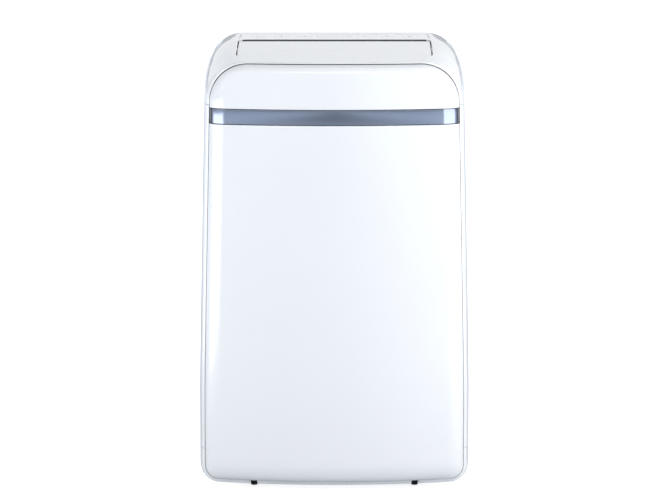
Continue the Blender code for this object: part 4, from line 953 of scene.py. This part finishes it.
panel = front_cover("front_panel_shell", None, PANEL_HIGH, PANEL_STEPS)
cover = front_cover("front_cover_shell", COVER_LOW, None, COVER_STEPS)
trim = trim_cover("trim_band_shell")
for piece, slot, node in ((panel, "white_plastic", "front_panel"), (cover, "white_plastic", "front_upper_cover"),
                          (trim, "silver_trim", "trim_band")):
    dress(smooth(piece), slot, "casing", node)


# ---------------------------------------------------------------- outlet flap
FIT = 0.0004
FLAP_FRONT_BOW = 0.009
FLAP_RADIUS = 0.016
FLAP_SINK = 0.0008
FLAP_REAR_SINK = 0.0013
FLAP_BAND = 0.012
FLAP_THICK = 0.0026
FLAP_RIM_DEEP = 0.0044
FLAP_RIM_WALL = 0.0022
FLAP_SHARES = (1.0, 0.985, 0.96, 0.92, 0.85, 0.75, 0.6, 0.45, 0.3, 0.15)
SIDE_GAP = 0.0020
FRONT_GAP = 0.0018
REAR_GAP = 0.005
CUT_DEEP = 0.03
flap_low, flap_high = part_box("discharge_flap")
flap_corners = [vertex.co for vertex in frame["nodes"]["discharge_flap"].data.vertices]
flap_half = max(corner.x for corner in flap_corners if corner.z > flap_high.z - FLAP_BAND)
flap_mid = (flap_low.y + flap_high.y) / 2
flap_deep = (flap_high.y - flap_low.y) / 2
opening_front = flap_low.y - FRONT_GAP
opening_rear = flap_high.y + REAR_GAP
opening_mid = (opening_front + opening_rear) / 2
opening_deep = (opening_rear - opening_front) / 2


def top_height(x, y):
    """Height of the casing's top above a place in plan."""
    behind = y - FRONT_Y - RIM_SETBACK
    for _ in range(4):
        section = casing_section(behind, 0.0)
        behind = max(0.0, y - FRONT_Y - RIM_SETBACK - section[6] * (x / section[0]) ** 2)
    half, _, high, _, radius = section[:5]
    flat = half - lean(high - radius) - radius
    over = min(max(0.0, abs(x) - flat), radius * 0.999)
    return high - radius + math.sqrt(radius * radius - over * over)


def over_top(outline_points, origin, drop, grow=0.0):
    """An outline laid on the casing's top, drop below its surface, grown sideways."""
    places = [(origin[0] + u, origin[1] + v) for u, v in grown(outline_points, grow)]
    return [(x, y, top_height(x, y) - drop) for x, y in places]


def flared_cutter(name, outline_points, origin, flare=0.0007):
    """A cutter that follows the top and leaves its edge rounded over."""
    depths = [(-0.02, flare + 0.02)]
    depths += [(flare * (1 - math.cos(turn)), flare * (1 - math.sin(turn))) for turn in quarter_turns(3)]
    depths.append((CUT_DEEP, 0.0))
    return lofted(name, [over_top(outline_points, origin, drop, grow) for drop, grow in depths])


opening_outline = rounded_outline(flap_half + SIDE_GAP, opening_deep, FLAP_RADIUS + SIDE_GAP, bow=FLAP_FRONT_BOW)
cut(top, flared_cutter("flap_cutter", opening_outline, (0, opening_mid)))


def flap_top(x, y):
    """The flap's outer face: just under the casing's top, and a little lower at its rear edge."""
    behind = max(0.0, (y - flap_mid) / flap_deep)
    return top_height(x, y) - FLAP_SINK - FLAP_REAR_SINK * behind * behind


def flap_plate():
    """The flap: a skin that follows the casing's top, with a rim turned down all round."""
    shape = rounded_outline(flap_half, flap_deep, FLAP_RADIUS, bow=FLAP_FRONT_BOW)
    levels = [(share, 0.0, 0.0) for share in reversed(FLAP_SHARES)]
    levels += [(1.0, 0.0, 0.0004), (1.0, 0.0, FLAP_RIM_DEEP), (1.0, FLAP_RIM_WALL, FLAP_RIM_DEEP)]
    levels += [(share, FLAP_RIM_WALL, FLAP_THICK) for share in FLAP_SHARES[1:]]
    work = bmesh.new()
    loops = []
    for share, inward, drop in levels:
        places = [(u * share, flap_mid + v * share) for u, v in grown(shape, -inward)]
        loops.append([work.verts.new((x, y, flap_top(x, y) - drop)) for x, y in places])
    bridge(work, loops)
    for loop, drop in ((loops[0], 0.0), (loops[-1], FLAP_THICK)):
        centre = work.verts.new((0, flap_mid, flap_top(0, flap_mid) - drop))
        for first, second in zip(loop, loop[1:] + loop[:1]):
            work.faces.new((first, second, centre))
    return finished(work, "outlet_flap")


# A thin dark strip standing in the gap behind the flap's rear edge, which draws a dark line there.
GAP_STRIP_STEPS = 24
GAP_STRIP_THICK = 0.0010
GAP_STRIP_DEEP = 0.006
gap_strip_y = flap_mid + flap_deep + 0.0016
gap_strip_half = flap_half - 0.002
gap_strip_rings = []
for k in range(GAP_STRIP_STEPS + 1):
    x = -gap_strip_half + 2 * gap_strip_half * k / GAP_STRIP_STEPS
    high = top_height(x, gap_strip_y) - FIT
    gap_strip_rings.append([(x, gap_strip_y, high), (x, gap_strip_y + GAP_STRIP_THICK, high),
                       (x, gap_strip_y + GAP_STRIP_THICK, high - GAP_STRIP_DEEP), (x, gap_strip_y, high - GAP_STRIP_DEEP)])
dress(smooth(lofted("flap_gap_strip", gap_strip_rings)), "dark_plastic", "casing")

REST_HALF = 0.0035
REST_TALL = 0.007
rest_y = flap_mid - 0.004
rest_top = top_height(flap_half, rest_y) - FLAP_SINK - 0.0003
for side, name in ((-1, "left"), (1, "right")):
    inner, outer = sorted((side * (flap_half + FIT), side * (flap_half + SIDE_GAP + 0.0003)))
    rest = block(f"flap_rest_{name}", (inner, rest_y - REST_HALF, rest_top - REST_TALL),
                 (outer, rest_y + REST_HALF, rest_top), 0.0004, 2)
    dress(smooth(rest), "white_plastic", "casing")

flap = round_edges(flap_plate(), 0.0005, 2, 50)
smooth(flap)
dress(flap, "white_plastic", "flap", "discharge_flap")

# ---------------------------------------------------------------- control panel, display and buttons
PANEL_RADIUS = 0.010
deck_low, deck_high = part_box("control_panel")
deck_mid = (deck_low.y + deck_high.y) / 2
deck_half = (deck_high.x - deck_low.x) / 2
deck_deep = (deck_high.y - deck_low.y) / 2
deck_outline = rounded_outline(deck_half + FIT, deck_deep + FIT, PANEL_RADIUS + FIT)
cut(top, flared_cutter("deck_cutter", deck_outline, (0, deck_mid), 0.0005))


def level_ring(outline_points, origin, z, grow):
    return [(origin[0] + u, origin[1] + v, z) for u, v in grown(outline_points, grow)]


def flat_plate(name, outline_points, origin, low, high, edge, segments=3):
    """A level plate with its upper edge rounded."""
    levels = [(low, 0.0), (high - edge, 0.0)]
    for turn in quarter_turns(segments)[1:]:
        levels.append((high - edge * (1 - math.sin(turn)), edge * (1 - math.cos(turn))))
    return lofted(name, [level_ring(outline_points, origin, z, -inward) for z, inward in levels])


def flat_cutter(name, outline_points, origin, level, flare=0.0004):
    """A cutter through a level plate that leaves a rounded edge at its top."""
    levels = ((level + 0.01, flare + 0.01), (level, flare), (level - flare * 0.5, flare * 0.3),
              (level - flare, 0.0), (level - 0.02, 0.0))
    return lofted(name, [level_ring(outline_points, origin, z, grow) for z, grow in levels])


deck = flat_plate("control_deck", rounded_outline(deck_half, deck_deep, PANEL_RADIUS), (0, deck_mid),
                  deck_low.z, deck_high.z, 0.0005)
window_low, window_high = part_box("display_window")
window_half = (window_high.x - window_low.x) / 2
window_deep = (window_high.y - window_low.y) / 2
WINDOW_RADIUS = 0.003
BUTTON_HALF_WIDE = 0.0125
BUTTON_HALF_LONG = 0.0070
BUTTON_RADIUS = 0.004
BUTTON_DEEP = 0.0060
window_hole = rounded_outline(window_half + FIT, window_deep + FIT, WINDOW_RADIUS + FIT)
button_hole = rounded_outline(BUTTON_HALF_WIDE + FIT, BUTTON_HALF_LONG + FIT, BUTTON_RADIUS + FIT, 6)
button_shape = rounded_outline(BUTTON_HALF_WIDE, BUTTON_HALF_LONG, BUTTON_RADIUS, 6)
tools = [flat_cutter("window_cutter", window_hole, (0, deck_mid), deck_high.z)]
buttons = []
for number in range(1, 7):
    node = f"button_{number}"
    low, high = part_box(node)
    middle = ((low.x + high.x) / 2, (low.y + high.y) / 2)
    tools.append(flat_cutter(f"{node}_cutter", button_hole, middle, deck_high.z))
    cap = flat_plate(f"{node}_cap", button_shape, middle, high.z - BUTTON_DEEP, high.z, 0.0006)
    buttons.append((node, smooth(cap), Vector((*middle, high.z))))
cut(deck, *tools)
dress(smooth(deck), "white_plastic", "casing", "control_panel")
window = flat_plate("display_glass", rounded_outline(window_half, window_deep, WINDOW_RADIUS), (0, deck_mid),
                    window_low.z, window_high.z, 0.0003)
dress(smooth(window), "smoke_window", "casing", "display_window")

MARK_THICK = 0.00012
STROKE = 0.0006
FINE_STROKE = 0.0005
LAYER = 1e-5


def flat_mark(name, shape, level):
    return lofted(name, [[(x, y, level + z) for x, y in shape] for z in (-MARK_THICK, MARK_THICK)])


def arc_mark(centre, radius, start, end, width=STROKE, steps=20):
    """A thin raised arc, flat on a button, from start to end in degrees."""
    shape = []
    for reach, order in ((radius + width / 2, 1), (radius - width / 2, -1)):
        turns = [math.radians(start + (end - start) * k / steps) for k in range(steps + 1)][::order]
        shape += [(centre.x + reach * math.cos(turn), centre.y + reach * math.sin(turn)) for turn in turns]
    return flat_mark("arc", shape, centre.z)


def bar_mark(start, end, level, width=STROKE):
    """A thin raised bar between two places."""
    start, end = Vector(start), Vector(end)
    along = (end - start).normalized()
    side = Vector((-along.y, along.x)) * width / 2
    return flat_mark("bar", [start + side, start - side, end - side, end + side], level)


def mark_power(at):
    return [arc_mark(at, 0.0028, 120, 420), bar_mark((at.x, at.y + 0.0008), (at.x, at.y + 0.0036), at.z)]


def mark_fan(at):
    blades = []
    for k in range(3):
        turn = math.radians(90 + 120 * k)
        centre = Vector((at.x + 0.0018 * math.cos(turn), at.y + 0.0018 * math.sin(turn), at.z))
        blades.append(arc_mark(centre, 0.0014, 120 * k - 60, 120 * k + 120, STROKE, 12))
    return blades + [arc_mark(at, 0.0004, 0, 350, 0.0007, 10)]


def mark_frost(at):
    rays = []
    for k in range(3):
        turn = math.radians(30 + 60 * k)
        x, y = Vector((math.cos(turn), math.sin(turn))) * 0.0034
        rays.append(bar_mark((at.x - x, at.y - y), (at.x + x, at.y + y), at.z + k * LAYER, FINE_STROKE))
    return rays


def mark_arrow(at, up):
    tip = at.y + 0.0018 * up
    return [
        bar_mark((at.x + 0.0028 * side, tip - 0.0028 * up), (at.x - 0.0002 * side, tip + 0.0002 * up), at.z + layer)
        for side, layer in ((-1, 0.0), (1, LAYER))
    ]


def mark_swing(at):
    return [
        bar_mark((x - 0.0008, at.y - 0.0028), (x + 0.0008, at.y + 0.0028), at.z, FINE_STROKE)
        for x in (at.x - 0.0022, at.x, at.x + 0.0022)
    ]


MARKS = {
    "button_1": mark_swing,
    "button_2": mark_fan,
    "button_3": lambda at: mark_arrow(at, -1),
    "button_4": lambda at: mark_arrow(at, 1),
    "button_5": mark_frost,
    "button_6": mark_power,
}
for node, cap, at in buttons:
    dress(cap, "white_plastic", f"{node}_body", node)
    mark = joined(f"{node}_mark", MARKS[node](at))
    dress(mark, "grey_plastic", f"{node}_body", look="icon_grey")


# ---------------------------------------------------------------- handle cups
CUP_RADIUS = 0.010
# Inset and depth round the cup's hole and its lip, then inset and height above the cup's floor.
CUP_HOLE = ((-0.0207, -0.02), (-0.0007, 0.0), (-0.0003, 0.0004), (0.0, 0.001), (0.0, 0.01))
CUP_LIP = ((0.0, 0.0006), (0.0002, 0.0002), (0.0006, 0.0), (0.0022, 0.0), (0.0028, 0.0003), (0.0031, 0.001),
           (0.0034, 0.004))
CUP_FLOOR = ((0.0042, 0.008), (0.0056, 0.0045), (0.0086, 0.003), (0.011, 0.0028))
for name, side, shell in (("left", -1, left), ("right", 1, right)):
    low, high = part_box(f"{name}_handle_cup")
    middle_y, middle_z = (low.y + high.y) / 2, (low.z + high.z) / 2
    shape = rounded_outline((high.y - low.y) / 2, (high.z - low.z) / 2, CUP_RADIUS)

    def cup_ring(inset, depth):
        """The cup's outline on the side of the casing, inset and depth deep."""
        places = [(middle_y + u, middle_z + v) for u, v in grown(shape, -inset)]
        return [(side * (HALF - lean(z) - depth), y, z) for y, z in places]

    cut(shell, lofted(f"{name}_cup_cutter", [cup_ring(inset - FIT, depth) for inset, depth in CUP_HOLE]))
    cup_deep = (high.x - low.x) - 0.0006
    levels = [(0.0, cup_deep), *CUP_LIP, *((inset, cup_deep - up) for inset, up in CUP_FLOOR)]
    cup = lofted(f"{name}_finger_cup", [cup_ring(inset, depth) for inset, depth in levels])
    dress(smooth(cup, 60), "white_plastic", "casing", f"{name}_handle_cup", look="satin_white")


# ---------------------------------------------------------------- rear: grilles, filters, collar, hooks, gland, plugs
def rear_ring(outline_points, origin, y, grow=0.0):
    return [(origin[0] + u, y, origin[1] + v) for u, v in grown(outline_points, grow)]


def rear_loft(name, outline_points, origin, levels):
    return lofted(name, [rear_ring(outline_points, origin, y, grow) for y, grow in levels])


def rear_cutter(name, outline_points, origin, flare=0.0006):
    """A cutter through the flat rear face that leaves a rounded edge."""
    levels = [(REAR_Y + 0.01, flare + 0.01), (REAR_Y, flare), (REAR_Y - flare * 0.4, flare * 0.35),
              (REAR_Y - flare, 0.0), (REAR_Y - CUT_DEEP, 0.0)]
    return rear_loft(name, outline_points, origin, levels)


def circle_outline(radius, steps=72):
    turns = [2 * math.pi * k / steps for k in range(steps)]
    return [(radius * math.cos(turn), radius * math.sin(turn)) for turn in turns]


SLOT_PITCH = 0.0125
SLOT_HEIGHT = 0.0075
SLOT_RADIUS = 0.0022
SLOT_LAND = 0.004
GRILLE_FRAME = 0.010
GRILLE_RADIUS = 0.004
rear_tools = []
for name in ("upper", "lower"):
    low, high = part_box(f"{name}_intake_grille")
    middle = ((low.x + high.x) / 2, (low.z + high.z) / 2)
    half_wide, half_tall = (high.x - low.x) / 2, (high.z - low.z) / 2
    hole = rounded_outline(half_wide + FIT, half_tall + FIT, GRILLE_RADIUS + FIT, 5)
    rear_tools.append(rear_cutter(f"{name}_grille_cutter", hole, middle))
    edge = [(low.y, 0.0), (high.y - 0.0012, 0.0), (high.y - 0.0008, -0.0002), (high.y - 0.0003, -0.0005),
            (high.y, -0.0012)]
    grille = rear_loft(f"{name}_grille", rounded_outline(half_wide, half_tall, GRILLE_RADIUS, 5), middle, edge)
    rows = int((high.z - low.z - 2 * GRILLE_FRAME) / SLOT_PITCH)
    slot_half = (half_wide - GRILLE_FRAME - SLOT_LAND) / 2
    slot_shape = rounded_outline(slot_half, SLOT_HEIGHT / 2, SLOT_RADIUS, 3)
    levels = [(high.y + 0.004, 0.0047), (high.y, 0.0007), (high.y - 0.0004, 0.0002), (high.y - 0.0009, 0.0),
              (low.y - 0.004, 0.0)]
    slots = []
    for side in (-1, 1):
        for row in range(rows):
            place = (side * (slot_half + SLOT_LAND), middle[1] + SLOT_PITCH * (row - (rows - 1) / 2))
            slots.append(rear_loft("slot", slot_shape, place, levels))
    cut(grille, joined(f"{name}_slots", slots))
    dress(smooth(grille), "white_plastic", f"{name}_grille", f"{name}_intake_grille", look="satin_white")

COLLAR_RIM = 0.012
COLLAR_WALL = 0.003
COLLAR_HOLE = 0.0042
LUG_COUNT = 4
LUG_HALF = 0.006
collar_low, collar_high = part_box("exhaust_collar")
collar_z = (collar_low.z + collar_high.z) / 2
flange_radius = (collar_high.x - collar_low.x) / 2
bore_radius = flange_radius - COLLAR_RIM
lip = collar_high.y - REAR_Y
rear_tools.append(rear_cutter("collar_cutter", circle_outline(bore_radius + COLLAR_HOLE), (0, collar_z)))
collar_profile = fillet(
    [
        (bore_radius, collar_low.y - REAR_Y, 0),
        (bore_radius + COLLAR_WALL, collar_low.y - REAR_Y, 0.0008),
        (bore_radius + COLLAR_WALL, 0.0004, 0.0004),
        (flange_radius, 0.0004, 0.0003),
        (flange_radius, 0.0030, 0.0010),
        (bore_radius + 0.0042, 0.0042, 0.0012),
        (bore_radius + 0.0026, lip, 0.0010),
        (bore_radius + 0.0002, lip, 0.0008),
        (bore_radius, lip - 0.0030, 0),
    ],
    0.0006,
)
collar = lathe("hose_collar", collar_profile, (0, REAR_Y, collar_z), "Y", 96)
lugs = []
for k in range(LUG_COUNT):
    turn = math.radians(360) * (k + 0.5) / LUG_COUNT
    lug = block(f"lug_{k}", (bore_radius - 0.0040, REAR_Y - 0.004, -LUG_HALF),
                (bore_radius + 0.001, REAR_Y + 0.002, LUG_HALF), 0.0008, 2)
    lug.data.transform(Matrix.Translation((0, 0, collar_z)) @ Matrix.Rotation(-turn, 4, "Y"))
    lugs.append(lug)
unite(collar, *lugs)
dress(smooth(collar), "white_plastic", "casing", "exhaust_collar", look="satin_white")

GLAND_RADIUS = 0.009
gland_low, gland_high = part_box("cord_gland")
gland_at = ((gland_low.x + gland_high.x) / 2, (gland_low.z + gland_high.z) / 2)
rear_tools.append(rear_cutter("gland_cutter", circle_outline(GLAND_RADIUS + FIT, 40), gland_at, 0.0004))
gland_profile = fillet(
    [(0.0041, -0.012, 0), (GLAND_RADIUS, -0.012, 0.001), (GLAND_RADIUS, 0.0003, 0.0003), (0.0134, 0.0003, 0.0003),
     (0.0134, 0.0028, 0.001), (0.0082, 0.0042, 0.001), (0.0070, 0.0062, 0.0008), (0.0046, 0.0062, 0.0006),
     (0.0041, 0.005, 0)],
    0.0004,
)
gland = lathe("cord_gland_ring", gland_profile, (gland_at[0], REAR_Y, gland_at[1]), "Y", 48)
dress(smooth(gland), "rubber", "casing", "cord_gland")

PLUG_RADIUS = 0.008
PLUG_FLANGE = PLUG_RADIUS * 1.48
plug_profile = fillet(
    [(0.0, -0.010), (PLUG_RADIUS * 0.82, -0.010, 0.001), (PLUG_RADIUS, -0.004, 0.001),
     (PLUG_RADIUS, 0.0003, 0.0003), (PLUG_FLANGE, 0.0003, 0.0003), (PLUG_FLANGE, 0.0028, 0.0009),
     (PLUG_RADIUS * 0.60, 0.0034, 0.0008), (PLUG_RADIUS * 0.50, 0.0063, 0.0009), (0.0, 0.0063)],
    0.0004,
)
for name in ("upper", "lower"):
    low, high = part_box(f"{name}_drain_plug")
    at = ((low.x + high.x) / 2, (low.z + high.z) / 2)
    shell_tool = rear_cutter(f"{name}_drain_cutter", circle_outline(PLUG_RADIUS + FIT, 36), at, 0.0004)
    if name == "upper":
        rear_tools.append(shell_tool)
    else:
        cut(base, shell_tool)
    plug = lathe(f"{name}_plug", plug_profile, (at[0], REAR_Y, at[1]), "Y", 48)
    dress(smooth(plug), "rubber", f"{name}_plug", f"{name}_drain_plug")

HOOK_HALF = 0.010
HOOK_PLATE = 0.024
NECK_HALF = 0.007
NECK_FROM, NECK_TO = 0.008, 0.014
HOOK_LIP_HALF = 0.009
HOOK_LIP_THICK = 0.002
for name, place in (("lower", -1), ("upper", 1)):
    low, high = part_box(f"cord_hook_{name}")
    x = (low.x + high.x) / 2
    inner_z, outer_z = (high.z, low.z) if place < 0 else (low.z, high.z)
    plate = sorted((inner_z, inner_z + place * HOOK_PLATE))
    neck = sorted((inner_z + place * NECK_FROM, inner_z + place * NECK_TO))
    tip = sorted((inner_z + place * NECK_FROM, outer_z))
    hook = block(f"hook_{name}", (x - HOOK_HALF, low.y, plate[0]), (x + HOOK_HALF, REAR_Y + 0.003, plate[1]),
                 0.0012, 3)
    unite(hook,
          block("neck", (x - NECK_HALF, REAR_Y + 0.002, neck[0]), (x + NECK_HALF, high.y - 0.0002, neck[1]),
                0.0008, 2),
          block("tip", (x - HOOK_LIP_HALF, high.y - HOOK_LIP_THICK, tip[0]), (x + HOOK_LIP_HALF, high.y, tip[1]),
                0.0008, 3))
    dress(smooth(hook), "white_plastic", "casing", f"cord_hook_{name}", look="satin_white")
cut(rear, joined("rear_cutters", rear_tools))

# ---------------------------------------------------------------- casters
WHEEL_RADIUS = 0.0155
WHEEL_HALF = 0.0059
PIN_RADIUS = 0.0020
PIN_HALF = 0.015
FORK_HALF = 0.0066
WELL_RADIUS = 0.0272
WELL_TOP = 0.0358
DOME_TOP = 0.0388
STEM_RADIUS = 0.0051
BOSS_RADIUS = 0.0095
BOSS_LOW = 0.0368
BOSS_TALL = 0.011
# Radius, distance in from the wheel's side, and rounding, from the axle out to the tread.
WHEEL_SIDE = ((0.0, 0.0012), (0.0052, 0.0012, 0.0006), (0.0060, 0.0, 0.0005), (0.0098, 0.0, 0.0006),
              (0.0108, 0.0010, 0.0005), (0.0125, 0.0010, 0.0004), (0.0130, 0.0, 0.0005), (0.0140, 0.0, 0.0010),
              (WHEEL_RADIUS, 0.0026, 0.0014))
wheel_profile = fillet(
    [(radius, inset - WHEEL_HALF, *rounding) for radius, inset, *rounding in WHEEL_SIDE]
    + [(radius, WHEEL_HALF - inset, *rounding) for radius, inset, *rounding in reversed(WHEEL_SIDE)],
    0.0005, 3,
)
wells = []
domes = []
for row in ("front", "rear"):
    for side in ("left", "right"):
        tag = f"{row}_{side}"
        hood_low, hood_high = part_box(f"caster_hood_{tag}")
        x, y = (hood_low.x + hood_high.x) / 2, (hood_low.y + hood_high.y) / 2
        wheel_low, wheel_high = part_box(f"caster_wheel_{tag}")
        axle_y, axle_z = (wheel_low.y + wheel_high.y) / 2, (wheel_low.z + wheel_high.z) / 2
        tyre = lathe(f"caster_wheel_{tag}_tyre", wheel_profile, (x, axle_y, axle_z), "X", 48)
        unite(tyre, round_bar("pin", (x - PIN_HALF, axle_y, axle_z), 2 * PIN_HALF, PIN_RADIUS, "X", 24))
        dress(smooth(tyre), "dark_plastic", f"wheel_{tag}", f"caster_wheel_{tag}")
        hood_profile = fillet(
            [(0.0, hood_low.z), (0.0188, hood_low.z, 0.0006), (0.0190, hood_low.z + 0.004, 0.001),
             (0.0188, 0.0310, 0.004), (0.0130, 0.0353, 0.004), (0.0050, 0.0355, 0.0008),
             (0.0050, hood_high.z, 0.0008), (0.0, hood_high.z)],
            0.0005, 5,
        )
        hood = lathe(f"caster_hood_{tag}_shell", hood_profile, (x, y, 0), "Z", 56)
        gap = block("gap", (x - FORK_HALF, y - 0.03, -0.01), (x + FORK_HALF, y + 0.04, 0.032), 0.0015, 3)
        bore = round_bar("bore", (x - 2 * PIN_HALF, axle_y, axle_z), 4 * PIN_HALF, PIN_RADIUS + 0.0001, "X", 24)
        cut(hood, gap, bore)
        dress(smooth(hood), "white_plastic", f"hood_{tag}", f"caster_hood_{tag}")
        wells.append(round_bar("well", (x, y, FLOOR_GAP - 0.01), WELL_TOP - FLOOR_GAP + 0.01, WELL_RADIUS, "Z", 64))
        wells.append(round_bar("stem", (x, y, 0.030), 0.04, STEM_RADIUS, "Z", 32))
        if row == "front":
            wells.append(block("notch", (x - FORK_HALF, FRONT_Y, -0.002),
                               (x + FORK_HALF, y, FLOOR_GAP + LIP_HEIGHT), 0.0012, 3))
        domes.append(round_bar("dome", (x, y, FLOOR_GAP + 0.001), DOME_TOP - FLOOR_GAP - 0.001,
                               WELL_RADIUS + WALL, "Z", 64))
        domes.append(round_bar("boss", (x, y, BOSS_LOW), BOSS_TALL, BOSS_RADIUS, "Z", 32))
unite(base, *domes)
cut(base, *wells)
for piece, node in ((base, "base_tray"), (rear, "rear_panel"), (left, "left_side_panel"), (right, "right_side_panel"),
                    (top, "top_cover")):
    dress(smooth(piece), "white_plastic", "casing", node)

# ---------------------------------------------------------------- finishes of the parts that stay as they are
SLOT_OF = {row["node"]: row["material_slot"] for row in frame["record"]["subparts"]}
for node, obj in frame["nodes"].items():
    if obj.hide_render:
        continue
    obj.data.materials.clear()
    obj.data.materials.append(FINISH[SLOT_OF[node]])


# ---------------------------------------------------------------- floor, light and camera
FLOOR_GLOW = 0.02
FLOOR_GLOW_SIDES = 0.62
GLOW_REACH = 2.0
FLOOR_SIZE = 120.0
SURROUND_STRENGTH = 0.48
BACKDROP_STRENGTH = 1.05


def seen_directly(tree, others, camera, end):
    """One shader for what the camera sees and another for all other light."""
    path = tree.nodes.new("ShaderNodeLightPath")
    mix = tree.nodes.new("ShaderNodeMixShader")
    tree.links.new(path.outputs["Is Camera Ray"], mix.inputs["Fac"])
    tree.links.new(others, mix.inputs[1])
    tree.links.new(camera, mix.inputs[2])
    tree.links.new(mix.outputs[0], tree.nodes[end].inputs["Surface"])


def floor_material():
    """Pale paper, clipped to white where it is seen directly, and brighter towards the side lights."""
    made, tree, shader, place = new_material("studio_floor", roughness=0.9)
    shader.inputs["Base Color"].default_value = (0.93, 0.94, 0.95, 1)
    shader.inputs["Specular IOR Level"].default_value = 0.0
    shader.inputs["Emission Color"].default_value = (1, 1, 1, 1)
    shader.inputs["Emission Strength"].default_value = 0.85
    paper = tree.nodes.new("ShaderNodeBsdfDiffuse")
    paper.inputs["Color"].default_value = (0.58, 0.60, 0.63, 1)
    sideways = math_node(tree, "ABSOLUTE", part_of(tree, place, "X"), None)
    aside = math_node(tree, "DIVIDE", sideways, GLOW_REACH, clamp=True)
    glow = tree.nodes.new("ShaderNodeEmission")
    glow.inputs["Color"].default_value = (0.80, 0.88, 1.0, 1)
    strength = math_node(tree, "MULTIPLY_ADD", math_node(tree, "POWER", aside, 1.5), FLOOR_GLOW_SIDES, FLOOR_GLOW)
    tree.links.new(strength, glow.inputs["Strength"])
    both = tree.nodes.new("ShaderNodeAddShader")
    tree.links.new(paper.outputs[0], both.inputs[0])
    tree.links.new(glow.outputs[0], both.inputs[1])
    seen_directly(tree, both.outputs[0], shader.outputs[0], "Material Output")
    return made


bpy.ops.object.select_all(action="DESELECT")
bpy.ops.mesh.primitive_plane_add(size=FLOOR_SIZE, location=(0, 0, 0))
floor = bpy.context.object
floor.name = "studio_floor"
floor.data.materials.append(floor_material())


def studio_world():
    """A soft surround, clipped to white where it is seen directly."""
    made = bpy.data.worlds.new("studio")
    made.use_nodes = True
    tree = made.node_tree
    soft = tree.nodes["Background"]
    soft.inputs["Color"].default_value = (0.90, 0.94, 1.0, 1)
    soft.inputs["Strength"].default_value = SURROUND_STRENGTH
    backdrop = tree.nodes.new("ShaderNodeBackground")
    backdrop.inputs["Color"].default_value = (1, 1, 1, 1)
    backdrop.inputs["Strength"].default_value = BACKDROP_STRENGTH
    seen_directly(tree, soft.outputs[0], backdrop.outputs[0], "World Output")
    return made


bpy.context.scene.world = studio_world()
LAMP_COLOUR = (1.0, 0.99, 0.98)


def softbox(name, place, target, width, height, strength):
    """A soft rectangular light, unseen itself, whose power follows its area."""
    light = bpy.data.lights.new(name, "AREA")
    light.shape = "RECTANGLE"
    light.size, light.size_y = width, height
    light.energy = strength * width * height
    light.color = LAMP_COLOUR
    made = bpy.data.objects.new(name, light)
    made.location = place
    made.rotation_euler = (Vector(target) - Vector(place)).to_track_quat("-Z", "Y").to_euler()
    made.visible_camera = False
    bpy.context.scene.collection.objects.link(made)


# Each light's place, the place it faces, its width, height and strength for its area.
softbox("left_softbox", (-1.30, -0.74, 0.31), (0, -0.74, 0.31), 1.40, 0.60, 6.44)
softbox("right_softbox", (1.15, -0.90, 1.05), (0, -0.90, 1.05), 1.60, 2.10, 5.88)
softbox("left_fill", (-2.2, -1.5, 1.9), (0, 0, 0.4), 2.4, 2.4, 2.5)
softbox("right_fill", (2.2, -1.5, 1.9), (0, 0, 0.4), 2.4, 2.4, 1.4)
softbox("front_softbox", (0.0, -3.4, 2.5), (0, 0, 0.6), 2.6, 0.75, 9.5)
softbox("overhead_softbox", (0.0, -0.3, 2.6), (0, -0.1, 0.5), 1.6, 1.2, 0.8)
softbox("rear_softbox", (0.0, 3.4, 1.9), (0, 0, 0.5), 5.6, 2.0, 1.45)

CAMERA_AHEAD = 5.0
CAMERA_HEIGHT = 1.164
CAMERA_SIDE = -0.0015
CAMERA_DOWN = math.radians(8.41)
CAMERA_LENS = 161.6
camera = bpy.data.cameras.new("camera")
camera.lens = CAMERA_LENS
camera.sensor_width = 36.0
camera.clip_end = 200.0
viewer = bpy.data.objects.new("camera", camera)
viewer.location = (CAMERA_SIDE, FRONT_Y - CAMERA_AHEAD, CAMERA_HEIGHT)
viewer.rotation_euler = (math.radians(90) - CAMERA_DOWN, 0, 0)
bpy.context.scene.collection.objects.link(viewer)
bpy.context.scene.camera = viewer
bpy.context.scene.view_settings.view_transform = "Standard"
